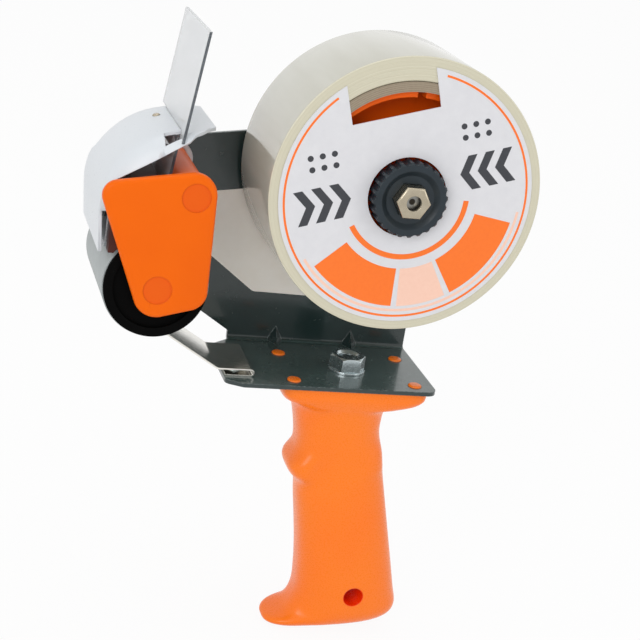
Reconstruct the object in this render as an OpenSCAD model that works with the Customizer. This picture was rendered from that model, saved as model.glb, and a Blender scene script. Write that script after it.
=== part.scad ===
// Pistol-grip packing tape dispenser with a roll of tape on its reel.
// Millimetres, +Z up. The origin is the middle of the hand grip, in the middle plane of the tape.
// The front roller is towards -X, the open side of the reel towards -Y, the side plate towards +Y.

/* [Tape roll] */
// Width of the tape
tape_w = 48; // [46:0.5:50]
// Outside diameter of the wound tape
tape_od = 101.6; // [98:0.2:104]
// Inside diameter of the paper core
core_id = 76.2; // [75.6:0.1:76.8]
// Wall of the paper core
core_wall = 3.6; // [2.5:0.1:5]
// Cream rim of tape left showing round the paper card
card_margin = 3.5; // [2:0.5:6]
// Thickness of the paper card on the open face of the roll
card_t = 0.4; // [0.3:0.1:0.6]
// Width of the window cut in the card
window_w = 32.6; // [24:0.2:36]
// Height of the window's lower edge above the centre of the card
window_low = 30.2; // [27:0.2:34]
// Turn of the card on the roll, degrees
card_turn = 17.3; // [0:0.1:90]

/* [Reel] */
// Reel axis ahead of the middle of the grip
reel_ahead = 4; // [0:0.5:8]
// Diameter of the reel axle
axle_d = 8; // [7:0.5:9]
// Wall of the hub's drum
drum_wall = 2.3; // [1.6:0.1:3]
// Radial play between the drum and the core
drum_play = 0.3; // [0.2:0.05:0.5]
// Diameter of the flange behind the roll
flange_d = 88; // [84:1:96]
// Number of spokes in the hub
hub_spokes = 6; // [4:1:8]
// Diameter of the hub's middle tube
hub_boss_d = 17; // [16:0.5:18]
// Depth of the hub's web behind the open face of the roll
hub_web_depth = 14; // [13:0.5:16]

/* [Tension knob] */
// Diameter of the knob
knob_d = 27.8; // [25:0.2:30]
// Height of the knob
knob_h = 7.4; // [6:0.2:9]
// Number of finger scallops round the knob
knob_scallops = 24; // [16:1:28]
// Size of the metal hex insert across its flats
insert_af = 11.4; // [10.4:0.1:13]
// Height of the insert above the knob's rim
insert_proud = 3.5; // [2.5:0.5:5]
// Hole in the end of the insert
insert_hole_d = 5.6; // [4:0.2:6.4]
// Mean diameter of the tension spring
spring_d = 14; // [13:0.5:15]
// Wire of the tension spring
spring_wire = 1.4; // [1.1:0.1:1.5]
// Turns of the tension spring
spring_turns = 4.5; // [3:0.5:4.5]

/* [Frame] */
// Top of the base plate above the middle of the grip
plate_above_grip = 63; // [60:0.5:66]
// Thickness of the steel sheet
sheet_t = 1.6; // [1.2:0.1:2]
// Reel axis above the top of the base plate
base_drop = 77; // [75:0.5:80]
// Space between the back of the roll and the side plate
plate_gap = 3.6; // [3.4:0.1:4.5]
// Front edge of the base plate ahead of the reel axis
base_front = 54.5; // [52:0.5:57]
// Rear edge of the plates behind the reel axis
base_rear = 28; // [27:0.5:32]
// Free edge of the base plate inside the open face of the roll
base_inset = 4.4; // [3:0.2:5]
// Front end of the bend ahead of the reel axis
bend_front = 45.6; // [44:0.2:47]
// Inside radius of the bend
bend_r = 1.5; // [1:0.1:2]
// Radius of the side plate's top round the reel axle
plate_top_r = 28; // [24:1:34]
// Reach of the two pressed stiffening darts from the bend
dart_leg = 6; // [4:0.5:7]

/* [Handle] */
// Depth of the handle's flared top flange
handle_flange_t = 8; // [7:0.2:9]
// Length of the flange
handle_flange_l = 57.4; // [56:0.2:60]
// Width of the flange
handle_flange_w = 37; // [35:0.2:40]
// Half width of the grip at its middle
grip_half_w = 14.6; // [13:0.2:16]
// Squareness of the grip's cross-section, 2 is an ellipse
grip_square = 2.6; // [2.2:0.1:3.4]
// Diameter of the hole for hanging the dispenser
hang_d = 8; // [6:0.5:9]
// Diameter of the locating pegs
peg_d = 5.2; // [4.4:0.1:6]
// Distance between the pegs along the gun
peg_span_x = 48; // [46:0.5:49]
// Distance between the pegs across the gun
peg_span_y = 27; // [24:0.5:28]
// Diameter of the handle's stud
stud_d = 6; // [5:0.5:7]
// Depth of the stud in the handle
stud_depth = 33; // [28:1:36]
// Size of the stud's nut across its flats
nut_af = 12.6; // [11:0.2:13.4]

/* [Front roller] */
// Roller axis ahead of the reel axis
roller_ahead = 86.3; // [85:0.1:89]
// Roller axis below the reel axis
roller_below = 40; // [39:0.1:41]
// Outside diameter of the roller's sleeve
roller_d = 37.8; // [36:0.2:38.6]
// Thickness of the sleeve
sleeve_t = 1.85; // [1.5:0.05:2.5]
// Diameter of the roller's axle
roller_axle_d = 6; // [5:0.5:7]
// Number of spokes in the roller
roller_spokes = 6; // [4:1:8]

/* [Front plate and post] */
// Thickness of the front plate
front_plate_t = 2.5; // [2.2:0.1:3]
// Space between the plane of the roll's open face and the front plate
front_plate_gap = 2.5; // [2.4:0.1:3]
// Cross post behind the roller's axis
post_back = 9.5; // [9:0.1:10]
// Cross post above the roller's axis
post_rise = 34.3; // [34:0.1:35]
// Diameter of the cross post
post_d = 11; // [9:0.5:11.5]

/* [Guard and flap] */
// Wall of the guard
guard_t = 1.2; // [1:0.1:1.4]
// Large front corner radius of the guard
guard_r = 29; // [27:0.5:31]
// Crown of the guard above the pivot
guard_top = 21.2; // [20.4:0.2:22]
// Front wall of the guard ahead of the pivot
guard_front = 33; // [32:0.5:35]
// Lower edge of the guard below the pivot
guard_drop = 20.2; // [19:0.2:21]
// Rear edge of the roof behind the pivot
guard_rear = 9.6; // [8:0.2:10.4]
// Tilt of the guard at rest, degrees
guard_tilt = 5.5; // [4:0.5:6.5]
// Thickness of the clear flap
flap_t = 1; // [0.8:0.1:1.2]
// Height of the flap above the guard's roof
flap_h = 35; // [30:0.5:42]
// Lean of the flap to the rear, from square to the roof, degrees
flap_lean = 12.1; // [11:0.1:13]

/* [Blade] */
// Thickness of the blade
blade_t = 0.8; // [0.6:0.1:1]
// Pitch of the teeth
tooth_pitch = 3; // [2:0.25:4]
// Depth of the teeth
tooth_depth = 2.6; // [1.5:0.1:3.5]

/* [Gate strip] */
// Width of the spring-steel strip
strip_w = 26; // [22:0.5:28]
// Thickness of the strip
strip_t = 0.6; // [0.4:0.1:0.8]
// Gap between the strip and the roller
strip_gap = 3; // [2.5:0.1:4]
// Radius of the strip's rolled lip
lip_r = 3; // [2.5:0.1:3.5]
// Radius of the strip's fold on the base plate
fold_r = 1.2; // [1.1:0.1:1.6]

/* [Hidden] */
$fn = 64;

// Clearances: a running shaft, a fixed pin in its hole, a close seat, two bodies that pass each other
run_c = 0.06;
pin_c = 0.1;
seat_c = 0.05;
gap_c = 0.3;
// Past a face, so that a cut goes right through it
past = 1;

// Places across the gun
near_y = -tape_w/2;
far_y = tape_w/2;
plate_y = far_y + plate_gap;
plate_out_y = plate_y + sheet_t;
front_in_y = near_y - front_plate_gap;
front_out_y = front_in_y - front_plate_t;

// Places seen from the side, from the reel axis, as [towards the rear, up]
base_z = -base_drop;
base_under_z = base_z - sheet_t;
roller_at = [-roller_ahead, -roller_below];
post_at = roller_at + [post_back, post_rise];
roller_r = roller_d/2;
roller_end_y = far_y + 1.5;
stud_x = -3.6;

function unit(v) = v/norm(v);
function wrap(list, i) = list[(i + len(list))%len(list)];
function heading(a) = [cos(a), sin(a)];

// Corner i of an outline, rounded by r: its two tangent points and the centre of its arc
function arms(p, i) = [unit(wrap(p, i - 1) - p[i]), unit(wrap(p, i + 1) - p[i])];
function half_angle(p, i) = let (a = arms(p, i)) acos(a[0]*a[1])/2;
function tangents(p, i, r) = let (a = arms(p, i), d = r/tan(half_angle(p, i))) [p[i] + a[0]*d, p[i] + a[1]*d];
function arc_centre(p, i, r) = let (a = arms(p, i)) p[i] + unit(a[0] + a[1])*r/sin(half_angle(p, i));

// The same corner as points along its arc
arc_steps = 6;
function arc_points(p, i, r) =
    let (t = tangents(p, i, r), c = arc_centre(p, i, r), a = t[0] - c, b = t[1] - c)
    [for (k = [0:arc_steps]) c + r*unit(a*(1 - k/arc_steps) + b*k/arc_steps)];

// A convex outline with its own radius at each corner
module rounded_outline(p, radii) {
    polygon([for (i = [0:len(p) - 1]) for (q = tangents(p, i, radii[i])) q]);
    for (i = [0:len(p) - 1]) translate(arc_centre(p, i, radii[i])) circle(radii[i]);
}

// A side-view outline made solid between two places across the gun
module across(y0, y1) {
    translate([0, y1, 0]) rotate([90, 0, 0]) linear_extrude(y1 - y0) children();
}

// A rod across the gun at a side-view place
module rod(at, d, y0, y1) {
    translate([at[0], y1, at[1]]) rotate([90, 0, 0]) cylinder(d = d, h = y1 - y0);
}

// A hexagonal bar across the gun
module hex_rod(at, af, y0, y1) {
    translate([at[0], y1, at[1]]) rotate([90, 0, 0]) cylinder(d = af/cos(30), h = y1 - y0, $fn = 6);
}

// The two places that the pieces are modelled from: the reel axis and the top of the base plate
module at_reel() {
    translate([-reel_ahead, 0, plate_above_grip + base_drop]) children();
}

module at_base() {
    translate([-reel_ahead, 0, plate_above_grip]) children();
}

// A closed tube of round wire along a list of points, its rings square to a coil about the Y axis
wire_sides = 6;
coil_rings = 16;
function ring(p, t, r) = let (n = unit(cross([0, 1, 0], t)), b = unit(cross(t, n)))
    [for (k = [0:wire_sides - 1]) let (a = 360*k/wire_sides) p + r*cos(a)*n + r*sin(a)*b];
module wire(points, r) {
    n = len(points);
    s = wire_sides;
    tangent = [for (i = [0:n - 1]) unit(points[min(i + 1, n - 1)] - points[max(i - 1, 0)])];
    skin = [for (i = [0:n - 1]) for (q = ring(points[i], tangent[i], r)) q];
    walls = [for (i = [0:n - 2]) for (k = [0:s - 1]) let (a = i*s, m = (k + 1)%s)
        for (f = [[a + k, a + m, a + s + m], [a + k, a + s + m, a + s + k]]) f];
    first = [for (k = [1:s - 2]) [0, k + 1, k]];
    last = [for (k = [1:s - 2]) let (a = (n - 1)*s) [a, a + k, a + k + 1]];
    polyhedron(skin, concat(walls, first, last));
}

// Points of a coil about the Y axis, from a start angle
function coil(d, turns, length, start) = [for (i = [0:turns*coil_rings])
    let (a = start + 360*i/coil_rings) [d/2*cos(a), length*i/(turns*coil_rings), d/2*sin(a)]];
// Least gap of a wire to its own next turns, measured on its points
function least_gap(p, d) = min([for (i = [0:len(p) - 1]) for (j = [i + coil_rings/2:1:len(p) - 1])
    norm(p[i] - p[j])]) - d;

// Bent steel frame: a base plate on the handle and a side plate that carries the reel and the front arm.
top_start = 158;
top_steps = 40;
top_points = [for (k = [0:top_steps]) plate_top_r*heading(top_start*(1 - k/top_steps))];
arm_corners = [roller_at + [-8.7, -2.7], roller_at + [-15.7, 26], post_at + [-19.2, 4.5], top_points[0],
    [base_rear, base_z + bend_r], [-bend_front, base_z + bend_r], [-bend_front, base_z + 3]];
arm_radii = [6, 5, 6];
arm_outline = concat([for (i = [0:2]) for (q = arc_points(arm_corners, i, arm_radii[i])) q], top_points,
    [for (i = [4:6]) arm_corners[i]]);
base_corners = [[-base_front, near_y + 7.8], [-base_front + 6.5, near_y + base_inset],
    [base_rear, near_y + base_inset], [base_rear, plate_y - bend_r], [-bend_front, plate_y - bend_r],
    [-base_front, far_y - 5.5]];
base_radii = [3, 3, 4, 0, 0, 3];
base_outline = [for (i = [0:5]) for (q = base_radii[i] > 0 ? arc_points(base_corners, i, base_radii[i])
    : [base_corners[i]]) q];
bend_l = bend_front + base_rear;
bend_steps = 8;
bend_lap = 4;
dart_at = [-26.2, 4.8];
dart_w = 8;
dart_sunk = 0.6;

// A pressed dart: its ridge runs from the base plate up to the side plate, and it is widest in the bend
module dart() {
    low = -dart_sunk;
    high = dart_leg + dart_sunk;
    foot = [[-dart_w/2, dart_sunk, low], [dart_w/2, dart_sunk, low]];
    polyhedron(concat([[0, -high, low], [0, dart_sunk, high]], foot),
        [[0, 2, 1], [0, 1, 3], [0, 3, 2], [1, 2, 3]]);
}

// The bend between the two plates, seen along the gun, with a lap on each plate
bend_at = [plate_y - bend_r, base_z + bend_r];
function bend_arc(r) = [for (k = [0:bend_steps]) bend_at + r*heading(90*k/bend_steps - 90)];
module bend_profile() {
    inner = bend_arc(bend_r);
    polygon(concat([[plate_y - bend_r - bend_lap, base_under_z]], bend_arc(bend_r + sheet_t),
        [[plate_out_y, base_z + bend_r + bend_lap], [plate_y, base_z + bend_r + bend_lap]],
        [for (k = [bend_steps:-1:0]) inner[k]], [[plate_y - bend_r - bend_lap, base_z]]));
}

module frame() {
    color([0.23, 0.28, 0.28]) at_reel() difference() {
        union() {
            across(plate_y, plate_out_y) polygon(arm_outline);
            translate([0, 0, base_under_z]) linear_extrude(sheet_t) polygon(base_outline);
            translate([-bend_front, 0, 0]) rotate([90, 0, 90]) linear_extrude(bend_l) bend_profile();
            for (x = dart_at) translate([x, plate_y, base_z]) dart();
        }
        rod([0, 0], axle_d + 2*pin_c, plate_y - past, plate_out_y + past);
        rod(roller_at, roller_axle_d + 2*pin_c, plate_y - past, plate_out_y + past);
        rod(post_at, screw_d + 2*pin_c, plate_y - past, plate_out_y + past);
        for (at = carrier_screw_at) rod(at, small_screw_d + 2*pin_c, plate_y - past, plate_out_y + past);
        translate([0, 0, base_under_z - past]) {
            translate([stud_x, 0, 0]) cylinder(d = stud_d + 2*pin_c, h = sheet_t + 2*past);
            at_pegs() cylinder(d = peg_d + 2*pin_c, h = sheet_t + 2*past);
            at_rivets() cylinder(d = rivet_d + 2*pin_c, h = sheet_t + 2*past);
        }
    }
}

// Pale bare paper label on the inside of the side plate
label_t = 0.25;
label_outline = [[-62, -18.4], [-14, -10.6], [-14, -57.4], [-38, -57], [-62, -39.5]];
label_radii = [3, 5, 3, 3, 3];
module inner_label() {
    color([0.86, 0.83, 0.78]) at_reel() across(plate_y - label_t, plate_y)
        polygon([for (i = [0:len(label_outline) - 1])
            for (q = arc_points(label_outline, i, label_radii[i])) q]);
}

// Moulded handle. Each station down it is [front x, front z, rear x, rear z, half width, added squareness],
// with its heights measured from the underside of the base plate. The flange flares out above the grip, each
// of its rings as [share of its depth, drawn in at the front, at the rear, at the sides, added squareness].
flange_mid = stud_x + 1;
flare = [[0, 0, 0, 0, 5], [0.25, 0.1, 0.1, 0, 5], [0.53, 1.1, 1.5, 0.2, 4.5], [0.8, 3.1, 4.7, 0.9, 3.4],
    [1, 5.1, 8.6, 1.9, 1.8]];
flange_stations = [for (f = flare) let (z = -f[0]*handle_flange_t) [flange_mid - handle_flange_l/2 + f[1], z,
    flange_mid + handle_flange_l/2 - f[2], z, handle_flange_w/2 - f[3], f[4]]];
body_stations = [
    [-24.2, -11.4, 13.6, -10.6, 15.2], [-20.5, -20.4, 12.8, -17.4, 14], [-19.7, -28.4, 11.8, -23.4, 13.7],
    [-22.6, -34.9, 12.4, -29.4, 13.7], [-21.6, -39.9, 13.4, -34.4, 13.8], [-17.3, -44.9, 14.6, -39.4, 14],
    [-15.2, -53.4, 17, -48.4, 14.3], [-12.6, -71.4, 22.5, -66.4, 14.8], [-10.9, -84.4, 27, -80.4, 15],
    [-13, -92.9, 29.6, -89.4, 15], [-19, -99.4, 31, -94.9, 14.5], [-22.5, -103.4, 30, -98.4, 13.3],
    [-19.5, -106.8, 26.5, -101, 11], [-13, -108.2, 20, -102.3, 7]];
grip_stations = concat(flange_stations, [for (s = body_stations) concat(s, 0)]);
grip_mid_w = 14.6;
grip_steps = 3;
grip_sides = 36;
hang_at = [10.7, -90.1];
peg_proud = 0.6;

// Smooth curve through four stations, and the rounded cross-section at one of them
function spline(a, b, c, d, t) =
    0.5*(2*b + (c - a)*t + (2*a - 5*b + 4*c - d)*t*t + (3*b - a - 3*c + d)*t*t*t);
function station(u) = let (s = grip_stations, m = len(s) - 1, i = min(floor(u), m - 1))
    spline(s[max(i - 1, 0)], s[i], s[i + 1], s[min(i + 2, m)], u - i);
function bulge(c, square) = sign(c)*pow(abs(c), 2/square);
function grip_ring(s) = [for (k = [0:grip_sides - 1])
    let (a = 360*(k + 0.5)/grip_sides, n = grip_square + s[5], f = (1 + bulge(cos(a), n))/2,
        w = s[4]*grip_half_w/grip_mid_w)
    [s[0] + (s[2] - s[0])*f, w*bulge(sin(a), n), s[1] + (s[3] - s[1])*f]];

module grip() {
    n = (len(grip_stations) - 1)*grip_steps;
    m = grip_sides;
    skin = [for (i = [0:n]) for (q = grip_ring(station(i/grip_steps))) q];
    walls = [for (i = [0:n - 1]) for (k = [0:m - 1]) let (a = i*m, j = (k + 1)%m)
        for (f = [[a + k, a + j, a + m + j], [a + k, a + m + j, a + m + k]]) f];
    top = [for (k = [1:m - 2]) [0, k + 1, k]];
    bottom = [for (k = [1:m - 2]) [n*m, n*m + k, n*m + k + 1]];
    polyhedron(skin, concat(walls, top, bottom));
}

module at_pegs() {
    for (x = [-1, 1]) for (y = [-1, 1]) translate([stud_x + x*peg_span_x/2, y*peg_span_y/2, 0]) children();
}

module handle() {
    color([1, 0.45, 0.1]) at_base() translate([0, 0, -sheet_t]) difference() {
        union() {
            grip();
            at_pegs() translate([0, 0, -past]) cylinder(d = peg_d, h = sheet_t + peg_proud + past);
        }
        translate([stud_x, 0, -stud_depth]) cylinder(d = stud_d + 2*pin_c, h = stud_depth + past);
        rod(hang_at, hang_d, -2*grip_half_w, 2*grip_half_w);
    }
}

// Zinc stud, washer and nut that hold the handle to the base plate.
// The nut's top is dished round the stud's end.
nut_washer_t = 1;
nut_washer_d = nut_af + 2;
nut_h = 5.4;
nut_chamfer = 0.9;
dish_d = nut_af - 3.4;
dish_depth = 1;
stud_chamfer = 0.6;
module handle_stud() {
    low = -sheet_t - stud_depth + seat_c;
    tip = nut_washer_t + nut_h - dish_depth - stud_chamfer;
    color([0.62, 0.66, 0.7]) at_base() translate([stud_x, 0, 0]) {
        translate([0, 0, low]) cylinder(d = stud_d, h = tip - low);
        translate([0, 0, tip]) cylinder(d1 = stud_d, d2 = stud_d - 2*stud_chamfer, h = stud_chamfer);
    }
}

module handle_washer() {
    color([0.62, 0.66, 0.7]) at_base() translate([stud_x, 0, 0]) difference() {
        cylinder(d = nut_washer_d, h = nut_washer_t);
        translate([0, 0, -past]) cylinder(d = stud_d + 2*pin_c, h = nut_washer_t + 2*past);
    }
}

module handle_nut() {
    corner_d = nut_af/cos(30);
    color([0.62, 0.66, 0.7]) at_base() translate([stud_x, 0, nut_washer_t]) difference() {
        intersection() {
            cylinder(d = corner_d, h = nut_h, $fn = 6);
            union() {
                cylinder(d = corner_d + 1, h = nut_h - nut_chamfer);
                translate([0, 0, nut_h - nut_chamfer])
                    cylinder(d1 = corner_d + 0.4, d2 = nut_af - 0.2, h = nut_chamfer);
            }
        }
        translate([0, 0, nut_h - dish_depth])
            cylinder(d1 = dish_d - 2*dish_depth, d2 = dish_d + 2*seat_c, h = dish_depth + seat_c);
        translate([0, 0, -past]) cylinder(d = stud_d + 2*seat_c, h = nut_h + 2*past);
    }
}

// Spring-steel gate strip: riveted on the base plate, folded back over itself, then rising to the underside
// of the roller, its lip rolled down
strip_mid_y = 0;
strip_flat = 10;
knee_ahead = 2.7;
strip_swing = 18.4;
fold_at = [strip_flat - base_front, base_z + strip_t/2 + fold_r];
strip_knee = [-base_front - knee_ahead, fold_at[1] + fold_r];
knee_r = 4;
strip_tip = roller_at + (roller_r + strip_gap + strip_t/2)*[sin(strip_swing), -cos(strip_swing)];
strip_dir = unit(strip_tip - strip_knee);
strip_side = [strip_dir[1], -strip_dir[0]];
lip_start = atan2(strip_side[1], strip_side[0]);
lip_sweep = 88;
fold_steps = 8;
strip_path = concat([[0.5 - base_front, base_z + strip_t/2]],
    [for (k = [0:fold_steps]) fold_at + fold_r*heading(180*k/fold_steps - 90)],
    arc_points([fold_at + [0, fold_r], strip_knee, strip_tip], 1, knee_r),
    [for (k = [0:fold_steps]) strip_tip + lip_r*(heading(lip_start + lip_sweep*k/fold_steps) - strip_side)]);

// A path in the side view as a strip of even thickness
function strip_edge(p, side) = [for (i = [0:len(p) - 1])
    let (t = unit(p[min(i + 1, len(p) - 1)] - p[max(i - 1, 0)])) p[i] + side*[-t[1], t[0]]];
function backwards(list) = [for (i = [len(list) - 1:-1:0]) list[i]];
module gate_strip() {
    color([0.74, 0.75, 0.76]) at_reel() difference() {
        translate([0, strip_mid_y, 0]) across(-strip_w/2, strip_w/2)
            polygon(concat(strip_edge(strip_path, strip_t/2), backwards(strip_edge(strip_path, -strip_t/2))));
        translate([0, 0, base_z - past]) at_rivets()
            cylinder(d = rivet_d + 2*pin_c, h = strip_t + past + pin_c);
    }
}

rivet_d = 3;
rivet_head_d = 5;
rivet_head_h = 0.9;
rivet_back = 5;
rivet_span = 14;
module at_rivets() {
    for (y = [-1, 1]) translate([-base_front + rivet_back, strip_mid_y + y*rivet_span/2, 0]) children();
}

// Two flat rivets that hold the strip, their heads inside its fold
module gate_rivets() {
    color([0.55, 0.57, 0.6]) at_reel() at_rivets() {
        translate([0, 0, base_under_z]) cylinder(d = rivet_d, h = sheet_t + strip_t);
        translate([0, 0, base_z + strip_t])
            cylinder(d1 = rivet_head_d, d2 = rivet_head_d - 1.2, h = rivet_head_h);
        translate([0, 0, base_under_z - rivet_head_h]) cylinder(d = rivet_head_d, h = rivet_head_h);
    }
}

// Places along the reel axis, from the open side inwards
knob_sunk = 1.9;
knob_in_y = near_y + knob_sunk;
knob_out_y = knob_in_y - knob_h;
insert_out_y = knob_out_y - insert_proud;
insert_lip = 1.2;
knob_travel = 1.25;
axle_end_y = insert_out_y + insert_lip + knob_travel + gap_c;
washer_y = knob_in_y + 2*seat_c;
washer_t = 1.4;
web_y = near_y + hub_web_depth;
collar_t = 1.4;
hub_far_y = plate_y - collar_t - seat_c;

// Steel axle of the reel, clamped in the side plate between a collar and a lock nut
collar_d = axle_d + 5;
axle_washer_t = 1.4;
lock_nut_t = 6.4;
lock_nut_af = axle_d + 5;
module reel_axle() {
    color([0.7, 0.71, 0.73]) at_reel() {
        rod([0, 0], axle_d, axle_end_y, plate_out_y + axle_washer_t + lock_nut_t);
        rod([0, 0], collar_d, plate_y - collar_t, plate_y);
    }
}

module axle_washer() {
    color([0.62, 0.66, 0.7]) at_reel() difference() {
        rod([0, 0], lock_nut_af + 5, plate_out_y, plate_out_y + axle_washer_t);
        rod([0, 0], axle_d + 2*pin_c, plate_out_y - past, plate_out_y + axle_washer_t + past);
    }
}

module axle_lock_nut() {
    low = plate_out_y + axle_washer_t;
    color([0.62, 0.66, 0.7]) at_reel() difference() {
        union() {
            hex_rod([0, 0], lock_nut_af, low, low + lock_nut_t - 1.6);
            rod([0, 0], lock_nut_af - 1, low, low + lock_nut_t);
        }
        rod([0, 0], axle_d + 2*seat_c, low - past, low + lock_nut_t + past);
    }
}

// Fibre washer round the collar, which the hub rubs on
friction_d = 26;
module friction_washer() {
    color([0.35, 0.22, 0.15]) at_reel() difference() {
        rod([0, 0], friction_d, plate_y - collar_t, plate_y);
        rod([0, 0], collar_d + 2*pin_c, plate_y - collar_t - past, plate_y + past);
    }
}

// Moulded hub: a slotted drum in the paper core, a web and spokes to the middle tube,
// and a flange behind the roll
drum_r = core_id/2 - drum_play;
drum_near_y = near_y + 3;
web_t = 2;
spoke_t = 2;
finger_slot_w = 3;
module hub() {
    flange_y = far_y + gap_c/2;
    color([1, 0.44, 0.05]) at_reel() difference() {
        union() {
            difference() {
                union() {
                    rod([0, 0], 2*drum_r, drum_near_y, hub_far_y);
                    rod([0, 0], flange_d, flange_y, hub_far_y);
                }
                rod([0, 0], 2*(drum_r - drum_wall), drum_near_y - past, hub_far_y + past);
                for (k = [0:hub_spokes - 1]) rotate([0, 360*(k + 0.5)/hub_spokes, 0])
                    translate([drum_r - 2*drum_wall, drum_near_y - past, -finger_slot_w/2])
                        cube([3*drum_wall, web_y - drum_near_y, finger_slot_w]);
            }
            rod([0, 0], hub_boss_d, web_y, hub_far_y);
            rod([0, 0], friction_d - 1, far_y - 4, hub_far_y);
            rod([0, 0], 2*drum_r - drum_wall, web_y, web_y + web_t);
            for (k = [0:hub_spokes - 1]) rotate([0, 360*k/hub_spokes, 0])
                translate([0, web_y + 1, -spoke_t/2])
                    cube([drum_r - drum_wall/2, far_y - web_y - 1, spoke_t]);
        }
        rod([0, 0], axle_d + 2*run_c, web_y - past, hub_far_y + past);
    }
}

// Paper core of the roll
core_r = core_id/2 + core_wall;
module tape_core() {
    color([0.62, 0.54, 0.43]) at_reel() difference() {
        rod([0, 0], 2*core_r, near_y, far_y);
        rod([0, 0], core_id, near_y - past, far_y + past);
    }
}

// Wound clear tape
module tape_roll() {
    color([0.84, 0.82, 0.72]) at_reel() difference() {
        rod([0, 0], tape_od, near_y, far_y);
        rod([0, 0], 2*core_r + 2*seat_c, near_y - past, far_y + past);
    }
}

// Paper card on the open face of the roll, with a hole for the knob and a window to the tape
card_r = tape_od/2 - card_margin;
module label_card() {
    color([0.92, 0.92, 0.93]) at_reel() across(near_y - card_t, near_y) difference() {
        circle(card_r);
        circle(d = knob_d + 1.6);
        rotate(card_turn) translate([-window_w/2, window_low]) square([window_w, card_r]);
    }
}

// Compression spring between the pressure washer and the hub's middle tube
spring_low_y = washer_y + washer_t + spring_wire/2 + seat_c;
spring_len = web_y - seat_c - spring_wire/2 - spring_low_y;
module tension_spring() {
    path = coil(spring_d, spring_turns, spring_len, 0);
    echo(tension_spring_gap = least_gap(path, spring_wire));
    color([0.75, 0.76, 0.78]) at_reel() translate([0, spring_low_y, 0]) wire(path, spring_wire/2);
}

// Steel washer that the knob pushes on the spring
module pressure_washer() {
    color([0.66, 0.68, 0.7]) at_reel() difference() {
        rod([0, 0], spring_d + 8, washer_y, washer_y + washer_t);
        rod([0, 0], axle_d + 2*run_c, washer_y - past, washer_y + washer_t + past);
    }
}

// Black scalloped tension knob with a dished face
scallop_d = 2.6;
scallop_out = 0.35;
knob_chamfer = 0.8;
knob_dish = 1.6;
knob_rim = 3;
module tension_knob() {
    color([0.1, 0.12, 0.14]) at_reel() difference() {
        union() {
            rod([0, 0], knob_d, knob_out_y + knob_chamfer, knob_in_y);
            translate([0, knob_out_y + knob_chamfer, 0]) rotate([90, 0, 0])
                cylinder(d1 = knob_d, d2 = knob_d - 2*knob_chamfer, h = knob_chamfer);
        }
        for (k = [0:knob_scallops - 1]) rotate([0, 360*k/knob_scallops, 0])
            rod([knob_d/2 + scallop_out, 0], scallop_d, knob_out_y - past, knob_in_y + past);
        translate([0, knob_out_y, 0]) rotate([-90, 0, 0])
            cylinder(d1 = knob_d - 2*knob_rim, d2 = knob_d - 2*knob_rim - 4, h = knob_dish);
        hex_rod([0, 0], insert_af + 2*seat_c, knob_out_y - past, knob_in_y + past);
    }
}

// Plated hex insert that runs on the axle's thread
module knob_insert() {
    lip_y = insert_out_y + insert_lip;
    color([0.72, 0.68, 0.58]) at_reel() difference() {
        hex_rod([0, 0], insert_af, insert_out_y, knob_in_y);
        rod([0, 0], axle_d + 2*run_c, lip_y, knob_in_y + past);
        rod([0, 0], insert_hole_d, insert_out_y - past, lip_y + past);
    }
}

// Front plate on the open side: it carries the free ends of the roller's axle and the cross post
plate_outline = [post_at + [-34.4, 2.5], post_at + [7.1, 10.3],
    roller_at + [18.2, -5.4], roller_at + [-4.6, -12.1]];
plate_radii = [5.5, 8.4, 7, 8.5];
mark_d = 10.2;
mark_depth = 0.4;
socket_depth = 1.6;
boss_h = front_plate_gap - (roller_end_y - far_y) - gap_c;
module near_plate() {
    color([1, 0.44, 0.03]) at_reel() difference() {
        union() {
            across(front_out_y, front_in_y) rounded_outline(plate_outline, plate_radii);
            rod(roller_at, roller_axle_d + 4, front_in_y - past, front_in_y + boss_h);
        }
        for (at = [roller_at, post_at]) rod(at, mark_d, front_out_y - past, front_out_y + mark_depth);
        rod(roller_at, roller_axle_d + 2*pin_c, front_in_y - socket_depth, near_y);
        rod(post_at, post_spigot_d + 2*pin_c, front_in_y - socket_depth, near_y);
        rod(carrier_peg_at, carrier_peg_d + 2*pin_c, front_in_y - socket_depth, near_y);
    }
}

// Cross post between the front plate and the side plate; the guard turns on it
screw_d = 4;
small_screw_d = 3.2;
small_head_d = 5.6;
post_spigot_d = 6;
post_thread = 12;
module cross_post() {
    color([1, 0.42, 0.05]) at_reel() difference() {
        union() {
            rod(post_at, post_d, front_in_y, plate_y);
            rod(post_at, post_spigot_d, front_in_y - socket_depth + pin_c, front_in_y + past);
        }
        rod(post_at, screw_d + 2*seat_c, plate_y - post_thread, plate_y + past);
    }
}

// Pan-head screw with its slotted head outside the side plate
module side_screw(at, d, head_d, depth) {
    head_h = d/2;
    rod(at, d, plate_y - depth, plate_out_y);
    difference() {
        rod(at, head_d, plate_out_y, plate_out_y + head_h);
        translate([at[0], plate_out_y + head_h, at[1]]) rotate([0, 20, 0])
            cube([head_d + past, head_h, 0.9], center = true);
    }
}

module post_screw() {
    color([0.62, 0.66, 0.7]) at_reel() side_screw(post_at, screw_d, 2*screw_d, post_thread - 1);
}

// Steel axle of the front roller, riveted over outside the side plate, its shoulder spacing the roller
axle_head_h = 1.4;
module roller_axle() {
    color([0.7, 0.71, 0.73]) at_reel() {
        rod(roller_at, roller_axle_d, front_in_y - socket_depth + pin_c, plate_out_y);
        rod(roller_at, roller_axle_d + 5, roller_end_y + gap_c, plate_y);
        translate([roller_at[0], plate_out_y, roller_at[1]]) rotate([-90, 0, 0])
            cylinder(d1 = roller_axle_d + 4, d2 = roller_axle_d + 1, h = axle_head_h);
    }
}

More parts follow.
